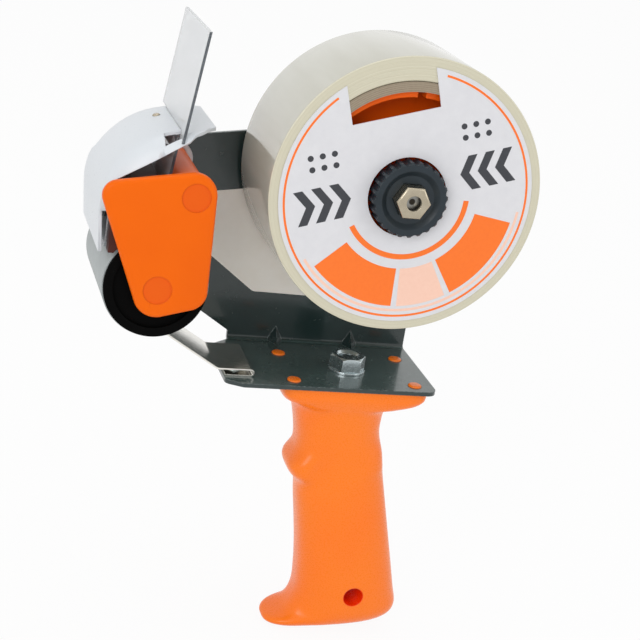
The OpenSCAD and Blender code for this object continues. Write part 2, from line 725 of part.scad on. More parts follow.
// Moulded roller: a tube with end rims, closed by a web at the open side of the gun,
// with spokes behind the web
rim_t = 1.3;
rim_low = 0.4;
roller_wall = 1.8;
roller_spoke_t = 1.6;
end_recess = 1.4;
end_web_t = 2;
spoke_recess = 4;
module roller_core() {
    tube_r = roller_r - sleeve_t - seat_c;
    web_at = -roller_end_y + end_recess;
    spoke_y = web_at + end_web_t/2;
    color([0.08, 0.08, 0.09]) at_reel() difference() {
        union() {
            difference() {
                union() {
                    rod(roller_at, 2*tube_r, -roller_end_y, roller_end_y);
                    for (y = [-roller_end_y, roller_end_y - rim_t])
                        rod(roller_at, 2*(roller_r - rim_low), y, y + rim_t);
                }
                rod(roller_at, 2*(tube_r - roller_wall), -roller_end_y - past, roller_end_y + past);
            }
            rod(roller_at, 2*tube_r - roller_wall, web_at, web_at + end_web_t);
            rod(roller_at, roller_axle_d + 5, -roller_end_y, roller_end_y);
            translate([roller_at[0], 0, roller_at[1]]) for (k = [0:roller_spokes - 1])
                rotate([0, 360*k/roller_spokes, 0]) translate([0, spoke_y, -roller_spoke_t/2])
                    cube([tube_r - roller_wall/2, roller_end_y - spoke_recess - spoke_y, roller_spoke_t]);
        }
        rod(roller_at, roller_axle_d + 2*run_c, -roller_end_y - past, roller_end_y + past);
    }
}

// Grey rubber sleeve on the roller
module roller_sleeve() {
    half = roller_end_y - rim_t - seat_c;
    color([0.72, 0.74, 0.74]) at_reel() difference() {
        rod(roller_at, roller_d, -half, half);
        rod(roller_at, roller_d - 2*sleeve_t, -half - past, half + past);
    }
}

// Blade carrier above the roller, hollowed to the roller's curve; its feet reach both plates
roller_room = 1.4;
foot_below_post = 9.8;
guard_room = 0.6;
carrier_half = far_y - guard_t - guard_room;
carrier_front = post_at[0] - guard_front + 5.1;
carrier_rear = post_at[0] - 11.7;
foot_top = post_at[1] - foot_below_post;
foot_low = roller_at[1] + 11.8;
block_low = roller_at[1] + 16;
carrier_screw_at = [roller_at + [-10.9, 20.7], roller_at + [-4.7, 22.3]];
carrier_peg_at = roller_at + [-7.8, 21.6];
carrier_peg_d = 2.4;
carrier_thread = 5;
module carrier_foot() {
    polygon([[carrier_front, foot_low], [carrier_front, foot_top],
        [carrier_rear, foot_top], [carrier_rear, foot_low]]);
}

module blade_carrier() {
    color([0.11, 0.1, 0.1]) at_reel() difference() {
        union() {
            across(-carrier_half, carrier_half) polygon([[carrier_front, block_low],
                [carrier_front, post_at[1] - 4.3], post_at + [-21.2, 1.7], [carrier_rear, post_at[1] + 3.2],
                [carrier_rear, block_low]]);
            across(front_in_y, -carrier_half + past) carrier_foot();
            across(carrier_half - past, plate_y) carrier_foot();
            rod(carrier_peg_at, carrier_peg_d, front_in_y - socket_depth + pin_c, front_in_y + past);
        }
        rod(roller_at, roller_d + 2*roller_room, front_in_y - past, plate_y + past);
        for (at = carrier_screw_at)
            rod(at, small_screw_d + 2*seat_c, plate_y - carrier_thread, plate_y + past);
        at_blade_screws() rotate([0, 90, 0]) cylinder(d = small_screw_d + 2*seat_c, h = blade_thread + past);
    }
}

module carrier_screws() {
    color([0.62, 0.66, 0.7]) at_reel()
        for (at = carrier_screw_at) side_screw(at, small_screw_d, small_head_d, carrier_thread - 1);
}

// Serrated steel blade on the front of the carrier
blade_below_post = 6.3;
blade_top = post_at[1] - blade_below_post;
blade_tip = foot_low;
blade_thread = 8;
blade_screw_span = 24;
blade_screw_z = blade_top - 5;
blade_margin = 0.7;
module blade() {
    teeth = floor(2*(carrier_half - blade_margin)/tooth_pitch);
    y0 = -teeth*tooth_pitch/2;
    edge = [for (k = [0:teeth - 1]) for (q = [[y0 + k*tooth_pitch, blade_tip + tooth_depth],
        [y0 + (k + 0.5)*tooth_pitch, blade_tip]]) q];
    color([0.8, 0.81, 0.82]) at_reel() difference() {
        translate([carrier_front - blade_t, 0, 0]) rotate([90, 0, 90]) linear_extrude(blade_t)
            polygon(concat(edge, [[-y0, blade_tip + tooth_depth], [-y0, blade_top], [y0, blade_top]]));
        at_blade_screws() rotate([0, -90, 0]) translate([0, 0, -past])
            cylinder(d = small_screw_d + 2*pin_c, h = blade_t + 2*past);
    }
}

module at_blade_screws() {
    for (y = [-1, 1]) translate([carrier_front, y*blade_screw_span/2, blade_screw_z]) children();
}

module blade_screws() {
    head_h = 0.9;
    color([0.62, 0.66, 0.7]) at_reel() at_blade_screws() translate([-blade_t, 0, 0]) {
        rotate([0, 90, 0]) cylinder(d = small_screw_d, h = blade_thread + blade_t - 1);
        rotate([0, -90, 0]) cylinder(d1 = small_head_d, d2 = small_head_d - 1, h = head_h);
    }
}

// Axes of the guard: its pivot, turned by its tilt at rest
corner_at = [guard_r - guard_front, guard_top - guard_r];
module at_guard() {
    at_reel() translate([post_at[0], 0, post_at[1]]) rotate([0, -guard_tilt, 0]) children();
}

// Side view of the hood: a straight front wall, a large round corner and a roof that falls to the rear.
// The hood is a sheet along it, with both its edges rolled inwards as far as a straight line.
// Each row is a place on the side view and the direction into the hood.
chord = [[7, 23.3], [-31, 3.7]];
chord_up = let (slope = unit(chord[0] - chord[1])) [-slope[1], slope[0]];
roll_r = 8;
least_roll = 10;
roll_steps = 4;
hood_step = 5;
roof_fall = 1.2;
hood_rows = concat([[[-guard_front, -guard_drop], [1, 0]]],
    [for (a = [180:-hood_step:90]) [corner_at + guard_r*heading(a), -heading(a)]],
    [for (s = [0.5, 1]) [[corner_at[0]*(1 - s) + guard_rear*s, guard_top - roof_fall*s], [0, -1]]]);
function roll_of(row) = let (depth = (row[0] - chord[1])*chord_up/(-row[1]*chord_up))
    depth <= 0 ? least_roll : max(least_roll, acos(1 - min(depth/roll_r, 1)));

// One row across the hood on one face of the sheet: the rolled edge of the open side, then that of the far
// side. Each rolled edge is an arc of radius roll_r.
function hood_point(row, side, turn, last, face) =
    let (d = guard_t/2 + roll_r*(1 - cos(turn)) - face*cos(turn), p = row[0] + row[1]*d,
        y = far_y - guard_t/2 - roll_r*(sin(last) - sin(turn)) + face*sin(turn)) [p[0], side*y, p[1]];
function hood_row(row, face) = let (last = roll_of(row)) concat(
    [for (j = [roll_steps:-1:0]) hood_point(row, -1, last*j/roll_steps, last, face)],
    [for (j = [0:roll_steps]) hood_point(row, 1, last*j/roll_steps, last, face)]);

module hood() {
    n = len(hood_rows);
    m = 2*roll_steps + 2;
    far = n*m;
    skin = concat([for (r = hood_rows) for (q = hood_row(r, guard_t/2)) q],
        [for (r = hood_rows) for (q = hood_row(r, -guard_t/2)) q]);
    sheet = [for (i = [0:n - 2]) for (k = [0:m - 2]) let (a = i*m + k, b = a + 1, c = a + m + 1, d = a + m)
        for (f = [[a, b, c], [a, c, d], [far + a, far + c, far + b], [far + a, far + d, far + c]]) f];
    rim = concat([for (k = [0:m - 2]) [k, k + 1]], [for (i = [0:n - 2]) [(i + 1)*m - 1, (i + 2)*m - 1]],
        [for (k = [m - 1:-1:1]) [(n - 1)*m + k, (n - 1)*m + k - 1]],
        [for (i = [n - 1:-1:1]) [i*m, (i - 1)*m]]);
    walls = [for (e = rim) for (f = [[e[1], e[0], far + e[0]], [e[1], far + e[0], far + e[1]]]) f];
    polyhedron(skin, concat(sheet, walls));
}

// Arm that hangs the hood on the pivot, with a boss round the post
pivot_boss_d = 15;
arm_heights = [1.6, -5.4, -6.8, 5.4];
arm_end = -2;
function in_wall(z) = [corner_at[0] - sqrt(pow(guard_r - guard_t/2, 2) - pow(z - corner_at[1], 2)), z];
module guard_arm() {
    polygon([in_wall(arm_heights[0]), in_wall(arm_heights[1]), [arm_end, arm_heights[2]],
        [arm_end, arm_heights[3]]]);
    circle(d = pivot_boss_d);
}

// The flap's plate between two heights above the pivot, with room to spare on every side
flap_root = -3.74;
module flap_plate(y0, y1, z0, z1, extra) {
    half_t = (flap_t/2 + extra)/cos(flap_lean);
    run = tan(flap_lean);
    corners = [[-half_t, z0], [half_t, z0], [half_t, z1], [-half_t, z1]];
    across(y0 - extra, y1 + extra)
        polygon([for (q = corners) [flap_root + run*(q[1] - guard_top) + q[0], q[1]]]);
}

tongue_half = far_y - 8;
tongue_low = -3.4;
notch = [-10.3, -3];
notch_w = 6;
roof_cut = [14.6, 15];
shoulder_z = 8;
pocket_h = 7;
pocket_half = tongue_half - 4;
// White guard over the blade: one moulded shell with a large front corner and a round shoulder
module guard() {
    color([0.9, 0.91, 0.92]) at_guard() difference() {
        union() {
            difference() {
                union() {
                    hood();
                    across(near_y, near_y + guard_t) guard_arm();
                    across(far_y - guard_t, far_y) guard_arm();
                }
                // Notch in the shoulder in front of the flap
                translate([notch[0], near_y - past, shoulder_z])
                    cube([notch[1] - notch[0], notch_w + past, guard_top]);
                // The roof's rear corner on the open side is cut off
                translate([0, 0, shoulder_z]) linear_extrude(guard_top) polygon([
                    [guard_rear + past, near_y + roof_cut[1]], [guard_rear, near_y + roof_cut[1]],
                    [guard_rear - roof_cut[0], near_y], [guard_rear - roof_cut[0] - past, near_y - past],
                    [guard_rear + past, near_y - past]]);
            }
            // Pocket under the roof that grips the flap's tongue
            flap_plate(-pocket_half, pocket_half, guard_top - pocket_h, guard_top - guard_t/2, guard_t);
            // Peg that the spring's leg presses down
            rod(spring_peg_at, spring_peg_d, far_y - guard_t, far_y + spring_peg_h);
        }
        rod([0, 0], post_d + 2*run_c, near_y - past, far_y + past);
        flap_plate(-tongue_half, tongue_half, tongue_low, guard_top + past, seat_c);
        at_guard_rivet() translate([0, 0, -2*guard_t]) cylinder(d = guard_rivet_d + 2*seat_c, h = 4*guard_t);
    }
}

// Clear flap that stands on the roof, its tongue down through the slot and its near corner down in the notch
flap_corner = 3.4;
module flap() {
    color([0.85, 0.9, 0.93, 0.5]) at_guard() {
        flap_plate(near_y, far_y, guard_top + gap_c, guard_top + flap_h, 0);
        flap_plate(-tongue_half, tongue_half, tongue_low, guard_top + 2*gap_c, 0);
        flap_plate(near_y, near_y + notch_w - gap_c, guard_top - flap_corner, guard_top + 2*gap_c, 0);
    }
}

// Small brass rivet through the roof beside the slot, square to the curve there
guard_rivet_d = 1.8;
guard_rivet_y = 6;
guard_rivet_turn = 10.6;
module at_guard_rivet() {
    translate([corner_at[0], guard_rivet_y, corner_at[1]]) rotate([0, -guard_rivet_turn, 0])
        translate([0, 0, guard_r]) children();
}

module guard_rivet() {
    color([0.7, 0.55, 0.35]) at_guard() at_guard_rivet() {
        translate([0, 0, -guard_t]) cylinder(d = guard_rivet_d, h = guard_t);
        cylinder(d1 = 3, d2 = 2, h = 0.5);
    }
}

// Torsion spring on the post that holds the guard down: one leg on the carrier's foot, one over the
// guard's peg
guard_spring_wire = 0.6;
guard_spring_d = post_d + guard_spring_wire + 2*gap_c;
guard_spring_turns = 2;
guard_spring_lead = -78;
guard_spring_end = 90;
guard_leg = 15;
spring_peg_d = 2.4;
spring_peg_h = 1.6;
spring_peg_x = -9;
spring_peg_at = [spring_peg_x, (guard_spring_d - guard_spring_wire - spring_peg_d)/2 - pin_c
    - spring_peg_x*sin(guard_tilt)];
module guard_spring() {
    turns = guard_spring_turns + (guard_spring_end - guard_spring_lead)/360;
    length = plate_gap - guard_spring_wire - gap_c;
    winding = coil(guard_spring_d, turns, length, guard_spring_lead);
    low = [-sin(guard_spring_lead), 0, cos(guard_spring_lead)];
    path = concat([winding[0] - guard_leg*low], winding, [winding[len(winding) - 1] + guard_leg*[-1, 0, 0]]);
    echo(guard_spring_gap = least_gap(winding, guard_spring_wire));
    color([0.75, 0.76, 0.78]) at_reel()
        translate([post_at[0], plate_y - guard_spring_wire/2 - gap_c/2, post_at[1]]) mirror([0, 1, 0])
            wire(path, guard_spring_wire/2);
}

frame();
inner_label();
handle();
handle_stud();
handle_washer();
handle_nut();
gate_strip();
gate_rivets();
reel_axle();
axle_washer();
axle_lock_nut();
friction_washer();
hub();
tape_core();
tape_roll();
label_card();
tension_spring();
pressure_washer();
tension_knob();
knob_insert();
near_plate();
cross_post();
post_screw();
roller_axle();
roller_core();
roller_sleeve();
blade_carrier();
blade();
blade_screws();
carrier_screws();
guard();
flap();
guard_rivet();
guard_spring();
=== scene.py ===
import math

import bmesh
import bpy
import numpy as np
from mathutils import Matrix, Vector


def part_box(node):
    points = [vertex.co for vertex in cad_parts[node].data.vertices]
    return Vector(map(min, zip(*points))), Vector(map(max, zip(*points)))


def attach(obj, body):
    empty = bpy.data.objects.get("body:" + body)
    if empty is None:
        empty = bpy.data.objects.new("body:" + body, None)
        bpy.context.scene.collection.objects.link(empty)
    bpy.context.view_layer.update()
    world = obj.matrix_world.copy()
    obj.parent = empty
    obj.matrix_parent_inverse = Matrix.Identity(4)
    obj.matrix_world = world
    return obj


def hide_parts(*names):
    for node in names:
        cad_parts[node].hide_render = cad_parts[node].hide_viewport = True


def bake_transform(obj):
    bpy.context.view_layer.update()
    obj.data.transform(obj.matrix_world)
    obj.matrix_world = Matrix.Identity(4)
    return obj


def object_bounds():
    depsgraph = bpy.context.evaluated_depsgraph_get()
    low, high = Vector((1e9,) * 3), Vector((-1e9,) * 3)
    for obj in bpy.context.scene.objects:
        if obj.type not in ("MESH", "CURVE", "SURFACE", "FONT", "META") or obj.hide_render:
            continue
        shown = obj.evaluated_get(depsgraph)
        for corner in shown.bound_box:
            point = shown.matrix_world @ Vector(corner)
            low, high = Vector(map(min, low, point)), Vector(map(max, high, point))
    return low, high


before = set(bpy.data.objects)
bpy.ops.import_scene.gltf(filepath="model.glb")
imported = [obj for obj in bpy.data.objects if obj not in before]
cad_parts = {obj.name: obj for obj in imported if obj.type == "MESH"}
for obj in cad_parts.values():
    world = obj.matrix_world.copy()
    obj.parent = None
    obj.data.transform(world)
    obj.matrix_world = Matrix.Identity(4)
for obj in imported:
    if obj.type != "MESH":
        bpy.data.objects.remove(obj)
solid_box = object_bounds()

# Camera where the photograph was taken from: a long lens, a little in front of the gun and above it,
# on the open side of the reel, turned a few degrees about its own line of sight.
camera_data = bpy.data.cameras.new("bench_camera")
camera_data.sensor_width = 36
camera_data.lens = 89.08
camera_data.clip_end = 50
camera = bpy.data.objects.new("bench_camera", camera_data)
camera.matrix_world = Matrix((
    (0.9578, -0.0600, -0.2811, -0.1904),
    (-0.2429, 0.3543, -0.9031, -0.5437),
    (0.1537, 0.9332, 0.3248, 0.2781),
    (0, 0, 0, 1)))
bpy.context.scene.collection.objects.link(camera)
bpy.context.scene.camera = camera
bpy.context.scene.view_settings.view_transform = "Standard"


# White photographic table: the floor under the butt of the grip, a white room all round it,
# and soft lamps overhead, to the left in front, and to the right.
def add(owner, kind, values=(), **settings):
    """A node in a material or a world: settings are its choices, values are (socket, number or a node's output)."""
    tree = owner.node_tree
    node = tree.nodes.new(kind)
    for key, value in settings.items():
        setattr(node, key, value)
    for socket, value in values:
        if isinstance(value, bpy.types.NodeSocket):
            tree.links.new(value, node.inputs[socket])
        else:
            node.inputs[socket].default_value = value
    return node


def maths(owner, operation, *values):
    """The result of a sum on one or two values, each a number or a node's output."""
    return add(owner, "ShaderNodeMath", enumerate(values), operation=operation).outputs[0]


def span(owner, value, low, high, to_low=0.0, to_high=1.0):
    """A value carried from one span to another in a straight line, and held at its ends."""
    return add(owner, "ShaderNodeMapRange", [("Value", value), ("From Min", low), ("From Max", high),
                                             ("To Min", to_low), ("To Max", to_high)]).outputs["Result"]


def looked_at(owner):
    """1 for a ray from the camera, straight, by a mirror or through clear sheet, and 0 for light that bounces."""
    ray = add(owner, "ShaderNodeLightPath").outputs
    aside = maths(owner, "MAXIMUM", ray["Is Glossy Ray"], ray["Is Transmission Ray"])
    return maths(owner, "MAXIMUM", ray["Is Camera Ray"], aside)


table_half, table_gap, table_white, table_glow = 4.0, 0.0003, 0.86, 0.93
table_low = float(solid_box[0][2]) - table_gap
table_corners = [(x*table_half, y*table_half, table_low) for x, y in ((-1, -1), (1, -1), (1, 1), (-1, 1))]
table_mesh = bpy.data.meshes.new("white_table")
table_mesh.from_pydata(table_corners, [], [(0, 1, 2, 3)])
table = bpy.data.objects.new("white_table", table_mesh)
bpy.context.scene.collection.objects.link(table)
table_paint = bpy.data.materials.new("white_table_paint")
table_paint.use_nodes = True
table_nodes = table_paint.node_tree.nodes
table_nodes.remove(table_nodes["Principled BSDF"])
matte = add(table_paint, "ShaderNodeBsdfDiffuse", [("Color", (table_white, table_white, table_white, 1))])
glow = add(table_paint, "ShaderNodeEmission")
glow_share = maths(table_paint, "MULTIPLY", looked_at(table_paint), table_glow)
table_shine = add(table_paint, "ShaderNodeMixShader", [(0, glow_share), (1, matte.outputs[0]), (2, glow.outputs[0])])
table_paint.node_tree.links.new(table_shine.outputs[0], table_nodes["Material Output"].inputs[0])
table_mesh.materials.append(table_paint)

room_dim, room_bright = 0.68, 1.0
room = bpy.data.worlds.new("white_room")
bpy.context.scene.world = room
room.use_nodes = True
sky = room.node_tree.nodes["Background"]
sky.inputs["Color"].default_value = (1, 1, 1, 1)
room.node_tree.links.new(span(room, looked_at(room), 0, 1, room_dim, room_bright), sky.inputs["Strength"])


def studio_lamp(name, place, aim, size, power):
    """A square soft lamp at a place, facing a point, with its edge and its power."""
    data = bpy.data.lights.new(name, "AREA")
    data.size = size
    data.energy = power
    lamp = bpy.data.objects.new(name, data)
    lamp.location = place
    lamp.rotation_euler = (Vector(aim) - Vector(place)).to_track_quat("-Z", "Y").to_euler()
    bpy.context.scene.collection.objects.link(lamp)


studio_lamp("lamp_overhead", (-0.1, 0.1, 1.5), (0, 0, 0.1), 1.0, 3.4)
studio_lamp("lamp_front_left", (-1.0, -1.3, 0.7), (-0.02, 0, 0.06), 0.9, 9.0)
studio_lamp("lamp_right", (1.3, -0.9, 0.5), (0, 0, 0.08), 0.8, 3.0)


# Bent frame of pressed steel sheet: base plate, bend with two stiffening darts, side plate with its front arm.
# It is dipped in slate-green gloss paint, thin on the cut edges, so a little bare steel shows there; the edges are
# painted lighter, as that wear and as a painted edge highlight. What faces up is painted lighter in patches: a film
# of paper dust, and painted light from above.
def shade(r, g, b):
    """A colour of 0 to 255 steps in linear light: the display's curve, (c + 0.055)/1.055 to the power of 2.4."""
    c = np.array((r, g, b))/255
    return tuple(float(v) for v in np.where(c <= 0.04045, c/12.92, ((c + 0.055)/1.055)**2.4)) + (1.0,)


def finish(name, colour, rough, metal=0.0, **sockets):
    """A new material. A value that is the same all over the surface sits on the shader's own socket."""
    material = bpy.data.materials.new(name)
    material.use_nodes = True
    material.diffuse_color = colour
    shader = material.node_tree.nodes["Principled BSDF"]
    shader.inputs["Base Color"].default_value = colour
    shader.inputs["Roughness"].default_value = rough
    shader.inputs["Metallic"].default_value = metal
    for socket, value in sockets.items():
        shader.inputs[socket.replace("_", " ")].default_value = value
    return material


def into(material, output, socket):
    """Joins a node's output to a socket of the material's shader."""
    material.node_tree.links.new(output, material.node_tree.nodes["Principled BSDF"].inputs[socket])


def placed(material, centre=(0, 0, 0), turn=(0, 0, 0), stretch=(1, 1, 1)):
    """Object coordinates measured from a centre, then turned and stretched: stretch * turn * (p - centre)."""
    where = add(material, "ShaderNodeTexCoord").outputs["Object"]
    moved = add(material, "ShaderNodeVectorMath", [(0, where), (1, centre)], operation="SUBTRACT").outputs[0]
    return add(material, "ShaderNodeMapping", [("Vector", moved), ("Rotation", turn), ("Scale", stretch)]).outputs[0]


def noise(material, where, scale, detail=3.0, rough=0.55):
    """Cloudy noise, 0 to 1, with a number of lumps to the metre."""
    return add(material, "ShaderNodeTexNoise", [("Vector", where), ("Scale", scale), ("Detail", detail),
                                                ("Roughness", rough)]).outputs["Fac"]


def mixed(material, share_of_b, a, b):
    """Colour a passing to colour b by a share of 0 to 1."""
    return add(material, "ShaderNodeMix", [(0, share_of_b), (6, a), (7, b)], data_type="RGBA").outputs[2]


def relief(material, height, depth, edge=0.0):
    """Surface relief of a height map, over edges that look broken by a radius in metres."""
    values = [("Height", height), ("Strength", 1.0), ("Distance", depth)]
    if edge:
        values.append(("Normal", add(material, "ShaderNodeBevel", [("Radius", edge)], samples=6).outputs[0]))
    into(material, add(material, "ShaderNodeBump", values).outputs[0], "Normal")


def dress(material, *names):
    """Gives the solids of these names this material."""
    for name in names:
        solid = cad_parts[name]
        solid.data.materials.clear()
        solid.data.materials.append(material)


slate = shade(24, 40, 39)
slate_paint = finish("slate_gloss_paint", slate, 0.22, Coat_Weight=0.35, Coat_Roughness=0.08)
here = placed(slate_paint)
painted = mixed(slate_paint, noise(slate_paint, here, 45), slate, shade(34, 51, 50))
rounded = add(slate_paint, "ShaderNodeBevel", [("Radius", 0.0005)], samples=6).outputs[0]
flat = add(slate_paint, "ShaderNodeNewGeometry").outputs["Normal"]
facing = add(slate_paint, "ShaderNodeVectorMath", [(0, rounded), (1, flat)], operation="DOT_PRODUCT").outputs["Value"]
# Cut edges are painted lighter: worn paint and a painted edge highlight.
edge_wear_and_highlight = span(slate_paint, facing, 0.97, 0.80)
broken = span(slate_paint, noise(slate_paint, here, 700), 0.42, 0.62)
upward = add(slate_paint, "ShaderNodeSeparateXYZ", [(0, flat)]).outputs["Z"]
# What faces up is painted lighter in patches: paper dust and painted light from above.
lying = span(slate_paint, upward, 0.6, 0.95)
dust_and_top_light = maths(slate_paint, "MULTIPLY", lying, span(slate_paint, noise(slate_paint, here, 90), 0.2, 0.8, 0.3, 0.5))
dusted_and_top_lit = mixed(slate_paint, dust_and_top_light, painted, shade(100, 118, 115))
worn_and_highlit = maths(slate_paint, "MULTIPLY", edge_wear_and_highlight, broken)
into(slate_paint, mixed(slate_paint, worn_and_highlit, dusted_and_top_lit, shade(128, 140, 140)), "Base Color")
into(slate_paint, span(slate_paint, noise(slate_paint, here, 300), 0.2, 0.8, 0.17, 0.3), "Roughness")
relief(slate_paint, noise(slate_paint, here, 900), 0.00002, 0.0006)
dress(slate_paint, "frame")


# Pale label of coated paper, die-cut from a sheet and stuck by its own glue on the inner face of the side plate,
# between the reel and the roller.
def mottled(material, where, scale, colour, other, detail=3.0):
    """Base colour that drifts between two shades in clouds, with a number of lumps to the metre."""
    into(material, mixed(material, noise(material, where, scale, detail), colour, other), "Base Color")


label_paper = finish("side_label_paper", shade(252, 247, 238), 0.45)
here = placed(label_paper)
mottled(label_paper, here, 160, shade(248, 242, 231), shade(255, 251, 244))
relief(label_paper, noise(label_paper, here, 2600, 4), 0.00002)
dress(label_paper, "inner_label")


# Moulded hand grip in orange polypropylene: a finger bulge in front, a swelling palm, a rounded butt,
# a hole across it for hanging, and a flange with four pegs that pass up through the base plate.
def surface(name, points, close_u=False, close_v=False):
    """A grid of points [u, v, xyz] in metres as quads; a closed direction joins its last row to its first."""
    n, m = points.shape[:2]
    u = np.arange(n if close_u else n - 1)[:, None]
    v = np.arange(m if close_v else m - 1)[None, :]
    u1 = (u + 1) % n
    v1 = (v + 1) % m
    quads = np.stack([u*m + v, u1*m + v, u1*m + v1, u*m + v1], -1).reshape(-1, 4)
    mesh = bpy.data.meshes.new(name)
    mesh.from_pydata(points.reshape(-1, 3).tolist(), [], quads.tolist())
    mesh.polygons.foreach_set("use_smooth", np.ones(len(quads), bool))
    piece = bpy.data.objects.new(name, mesh)
    bpy.context.scene.collection.objects.link(piece)
    return piece


def smoothed(piece, sharp):
    """Smooth shading, with the edges over an angle kept sharp."""
    piece.data.polygons.foreach_set("use_smooth", np.ones(len(piece.data.polygons), bool))
    piece.data.set_sharp_from_angle(angle=sharp)


def mend(piece, sharp=math.radians(38)):
    """Merges the points of a pole or seam, turns every face outwards and keeps the edges over an angle sharp."""
    work = bmesh.new()
    work.from_mesh(piece.data)
    bmesh.ops.remove_doubles(work, verts=work.verts, dist=1e-7)
    bmesh.ops.dissolve_degenerate(work, edges=work.edges, dist=1e-8)
    bmesh.ops.recalc_face_normals(work, faces=work.faces)
    work.to_mesh(piece.data)
    work.free()
    smoothed(piece, sharp)


def together(name, pieces):
    """One piece from several: their points and faces in one mesh."""
    work = bmesh.new()
    for piece in pieces:
        work.from_mesh(piece.data)
        bpy.data.objects.remove(piece)
    mesh = bpy.data.meshes.new(name)
    work.to_mesh(mesh)
    work.free()
    joined = bpy.data.objects.new(name, mesh)
    bpy.context.scene.collection.objects.link(joined)
    return joined


def cut(piece, tool):
    """Takes the tool's body out of the piece and keeps the result as the piece's own mesh."""
    taken = piece.modifiers.new("cut", "BOOLEAN")
    taken.operation = "DIFFERENCE"
    taken.solver = "EXACT"
    taken.object = tool
    bpy.context.view_layer.update()
    result = bpy.data.meshes.new_from_object(piece.evaluated_get(bpy.context.evaluated_depsgraph_get()))
    piece.modifiers.clear()
    piece.data = result
    bpy.data.objects.remove(tool)


# Millimetres. The stations run down the grip from its flange, measured from the place that these two give.
grip_top = 61.4
grip_ahead = -4.0
stations = np.array([
    (-31.3, 0, 26.1, 0, 18.5, 7.6), (-31.3, -2.6, 26.1, -2.6, 18.5, 7.6), (-31, -4.4, 25.6, -4.4, 18.4, 7.1),
    (-29.9, -6.4, 23.6, -6.4, 17.7, 6), (-27.4, -8.2, 19.4, -8.2, 16.9, 4.4), (-23.8, -11.2, 14, -10.6, 15.8, 2.6),
    (-20.9, -20.4, 12.8, -17.4, 14.3, 2.6), (-19.8, -29.6, 13.5, -23.4, 13.8, 2.6),
    (-22.3, -36.2, 15.1, -29.4, 13.7, 3.4), (-21.1, -40.4, 16.2, -34.4, 13.8, 3.4),
    (-17.3, -45.2, 17.6, -39.4, 14, 2.6), (-15.8, -53.4, 19.9, -48.4, 14.3, 2.6),
    (-12.6, -71.4, 24.6, -66.4, 14.8, 2.6), (-11, -84.4, 28.3, -80.4, 15, 2.6), (-10.9, -94, 30.8, -90, 15, 2.6),
    (-14, -101, 32.4, -96.2, 14.5, 2.8), (-21.2, -104.9, 31.4, -100.2, 13.3, 3), (-20.9, -107.3, 28, -103, 11, 2.8),
    (-13, -108.2, 20.5, -104.6, 7, 2.6)], float)
dimples = ((-10.6, -37.5, 4.6, 7, 0.17), (-6.5, -100, 6, 6, 0.11))


def grip_skin(rings=13, sides=112):
    """Cross-sections down the grip. A smooth cubic runs through the stations [front x, z, rear x, z, half width,
    squareness], and each section is a superellipse: cosine and sine of the angle, each to the power of 2 over the
    squareness. Its sides then sink behind the finger bulge and behind the toe: each dimple at (x, z) takes a share
    of the width away, as a bell curve exp(-(dx/reach)^2 - (dz/reach)^2). Rings that shrink by shares close the top
    and the butt."""
    top_shares, butt_shares = np.array([0.0, 0.5]), np.array([0.6, 0.25, 0.0])
    m = len(stations) - 1
    u = np.linspace(0, m, m*rings + 1)
    i = np.minimum(u.astype(int), m - 1)
    t = (u - i)[:, None]
    a, b = stations[np.maximum(i - 1, 0)], stations[i]
    c, d = stations[i + 1], stations[np.minimum(i + 2, m)]
    s = 0.5*(2*b + (c - a)*t + (2*a - 5*b + 4*c - d)*t**2 + (3*b - a - 3*c + d)*t**3)
    angle = 2*np.pi*(np.arange(sides) + 0.5)/sides
    power = 2/s[:, 5:6]
    f = (1 + np.sign(np.cos(angle))*np.abs(np.cos(angle))[None, :]**power)/2
    x = s[:, 0:1] + (s[:, 2:3] - s[:, 0:1])*f
    y = s[:, 4:5]*np.sign(np.sin(angle))*np.abs(np.sin(angle))[None, :]**power
    z = s[:, 1:2] + (s[:, 3:4] - s[:, 1:2])*f
    for at_x, at_z, reach_x, reach_z, share_off in dimples:
        y = y*(1 - share_off*np.exp(-((x - at_x)/reach_x)**2 - ((z - at_z)/reach_z)**2))
    skin = np.stack([x, y, z], -1)
    middle = skin.mean(1, keepdims=True)
    first = middle[:1] + (skin[:1] - middle[:1])*top_shares[:, None, None]
    last = middle[-1:] + (skin[-1:] - middle[-1:])*butt_shares[:, None, None]
    return np.concatenate([first, skin, last])


def slab(outline, low, high, edge, steps=5):
    """A flat slab of an outline [k, xy] with rounded rims: its rings step in by edge*(1 - sin) and up by
    edge*(1 - cos) at the foot, and the other way round at the top."""
    middle = outline.mean(0)
    reach = np.linalg.norm(outline - middle, axis=1, keepdims=True)
    q = np.linspace(0, np.pi/2, steps)
    inset = np.concatenate([edge*(1 - np.sin(q)), edge*(1 - np.cos(q))])
    height = np.concatenate([low + edge*(1 - np.cos(q)), high - edge*(1 - np.sin(q))])
    rings = [np.column_stack([middle + (outline - middle)*(1 - d/reach), np.full(len(outline), z)])
             for d, z in zip(inset, height)]
    ends = [np.column_stack([np.tile(middle, (len(outline), 1)), np.full(len(outline), z)]) for z in (low, high)]
    return np.stack([ends[0]] + rings + [ends[1]])


